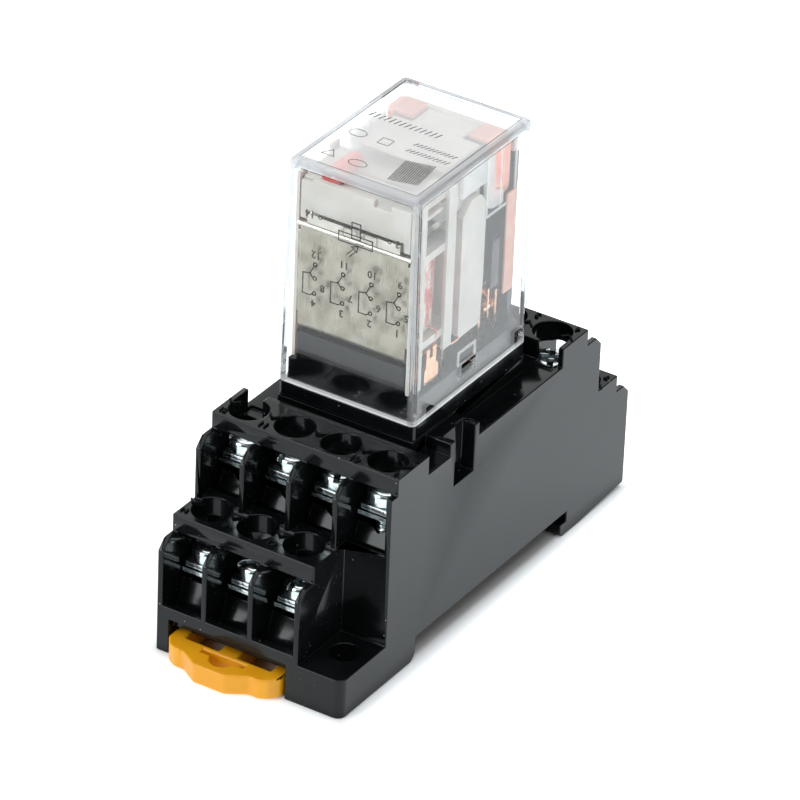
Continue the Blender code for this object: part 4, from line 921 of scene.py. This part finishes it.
def pale_floor():
    """Matt white card that glows a little, more to the far right: painted light, left out under the
    object as a painted shadow.
    """
    made = Material("pale_floor", (0.85, 0.85, 0.85), 0.9, Emission_Color=(0.93, 1.0, 1.04, 1.0))
    made.vary_colour((0.84, 0.84, 0.845), 60.0)
    parts = made.node("ShaderNodeSeparateXYZ")
    made.link(made.place, parts.inputs[0])
    x, y, _ = parts.outputs
    half = (SOCKET_HIGH - SOCKET_LOW) / 2 * MM
    middle = (SOCKET_HIGH.y + SOCKET_LOW.y) / 2 * MM
    across = made.maths("SUBTRACT", made.maths("ABSOLUTE", x), half.x)
    lengthways = made.maths("ABSOLUTE", made.maths("SUBTRACT", y, middle))
    along = made.maths("SUBTRACT", lengthways, half.y)
    # Painted shadow: the glow is left out under the socket's footprint and fades in just outside
    # it.
    painted_shadow_mask = made.ramp(made.maths("MAXIMUM", across, along), 0.0, 1.0, -1.0 * MM, 2.0 * MM)
    # Painted light: the glow grows from FLOOR_NEAR at the near left to FLOOR_FAR at the far right.
    away = made.maths("ADD", made.maths("MULTIPLY", x, 0.52), made.maths("MULTIPLY", y, 0.85))
    painted_floor_glow = made.ramp(away, FLOOR_NEAR, FLOOR_FAR, -30 * MM, 40 * MM)
    made.link(made.maths("MULTIPLY", painted_shadow_mask, painted_floor_glow), made.shader.inputs["Emission Strength"])
    return made.data


def build_stage():
    work = bmesh.new()
    bmesh.ops.create_grid(work, x_segments=2, y_segments=2, size=FLOOR_SIZE)
    floor = bpy.data.objects.new("floor", mesh_of("floor", work, pale_floor()))
    floor.location.z = SOCKET_LOW.z * MM - FLOOR_GAP
    SCENE.collection.objects.link(floor)

    world = bpy.data.worlds.new("studio")
    world.use_nodes = True
    sky = world.node_tree.nodes["Background"]
    sky.inputs["Color"].default_value = (1.0, 1.0, 1.0, 1.0)
    sky.inputs["Strength"].default_value = 0.08
    SCENE.world = world
    SCENE.view_settings.view_transform = "Standard"

    lamps = (
        ("overhead", (0.0, -0.1, 1.1), 1.4, 11.0),
        ("key", (-0.5, -1.0, 0.5), 0.6, 6.5),
        ("fill", (1.0, -0.3, 0.5), 0.6, 1.5),
        ("backdrop", (-0.58, 0.95, 0.68), 0.9, 2.6),
    )
    aim = Vector((0, 0, 0.03))
    for name, place, size, power in lamps:
        lamp = bpy.data.lights.new(name, "AREA")
        lamp.shape = "SQUARE"
        lamp.size = size
        lamp.energy = power
        item = bpy.data.objects.new(name, lamp)
        item.location = place
        item.rotation_euler = (aim - Vector(place)).to_track_quat("-Z", "Y").to_euler()
        SCENE.collection.objects.link(item)


def build_camera():
    azimuth, elevation, roll = map(math.radians, CAMERA_ANGLES)
    target = Vector(CAMERA_TARGET) * MM
    back = Vector((math.sin(azimuth) * math.cos(elevation),
                   -math.cos(azimuth) * math.cos(elevation), math.sin(elevation)))
    right = (-back).cross(Vector((0, 0, 1))).normalized()
    up = right.cross(-back)
    side = math.cos(roll) * right + math.sin(roll) * up
    top = -math.sin(roll) * right + math.cos(roll) * up
    lens = bpy.data.cameras.new("camera")
    lens.lens = CAMERA_LENS
    lens.sensor_width = SENSOR_WIDTH
    camera = bpy.data.objects.new("camera", lens)
    turn = Matrix((side, top, back)).transposed().to_4x4()
    camera.matrix_world = Matrix.Translation(target + back * CAMERA_DISTANCE) @ turn
    SCENE.collection.objects.link(camera)
    SCENE.camera = camera


def paint_cad_nodes():
    """Give every CAD node that stays its own material."""
    materials = {
        "black_plastic": BLACK, "yellow_plastic": YELLOW, "zinc_plate": ZINC,
        "clear_cover": CLEAR, "cream_plastic": CREAM, "enamelled_wire": WIRE,
        "yoke_steel": STEEL, "spring_steel": STEEL, "contact_copper": COPPER, "red_lamp": RED,
    }
    for entry in frame["record"]["subparts"]:
        node = NODES[entry["node"]]
        node.data.materials.clear()
        node.data.materials.append(materials[entry["material_slot"]])


paint_cad_nodes()
build_stage()
build_camera()
build_socket()
build_terminals()
build_socket_marks()
build_cover_print()
build_front()
build_side_parts()
build_pigtails()
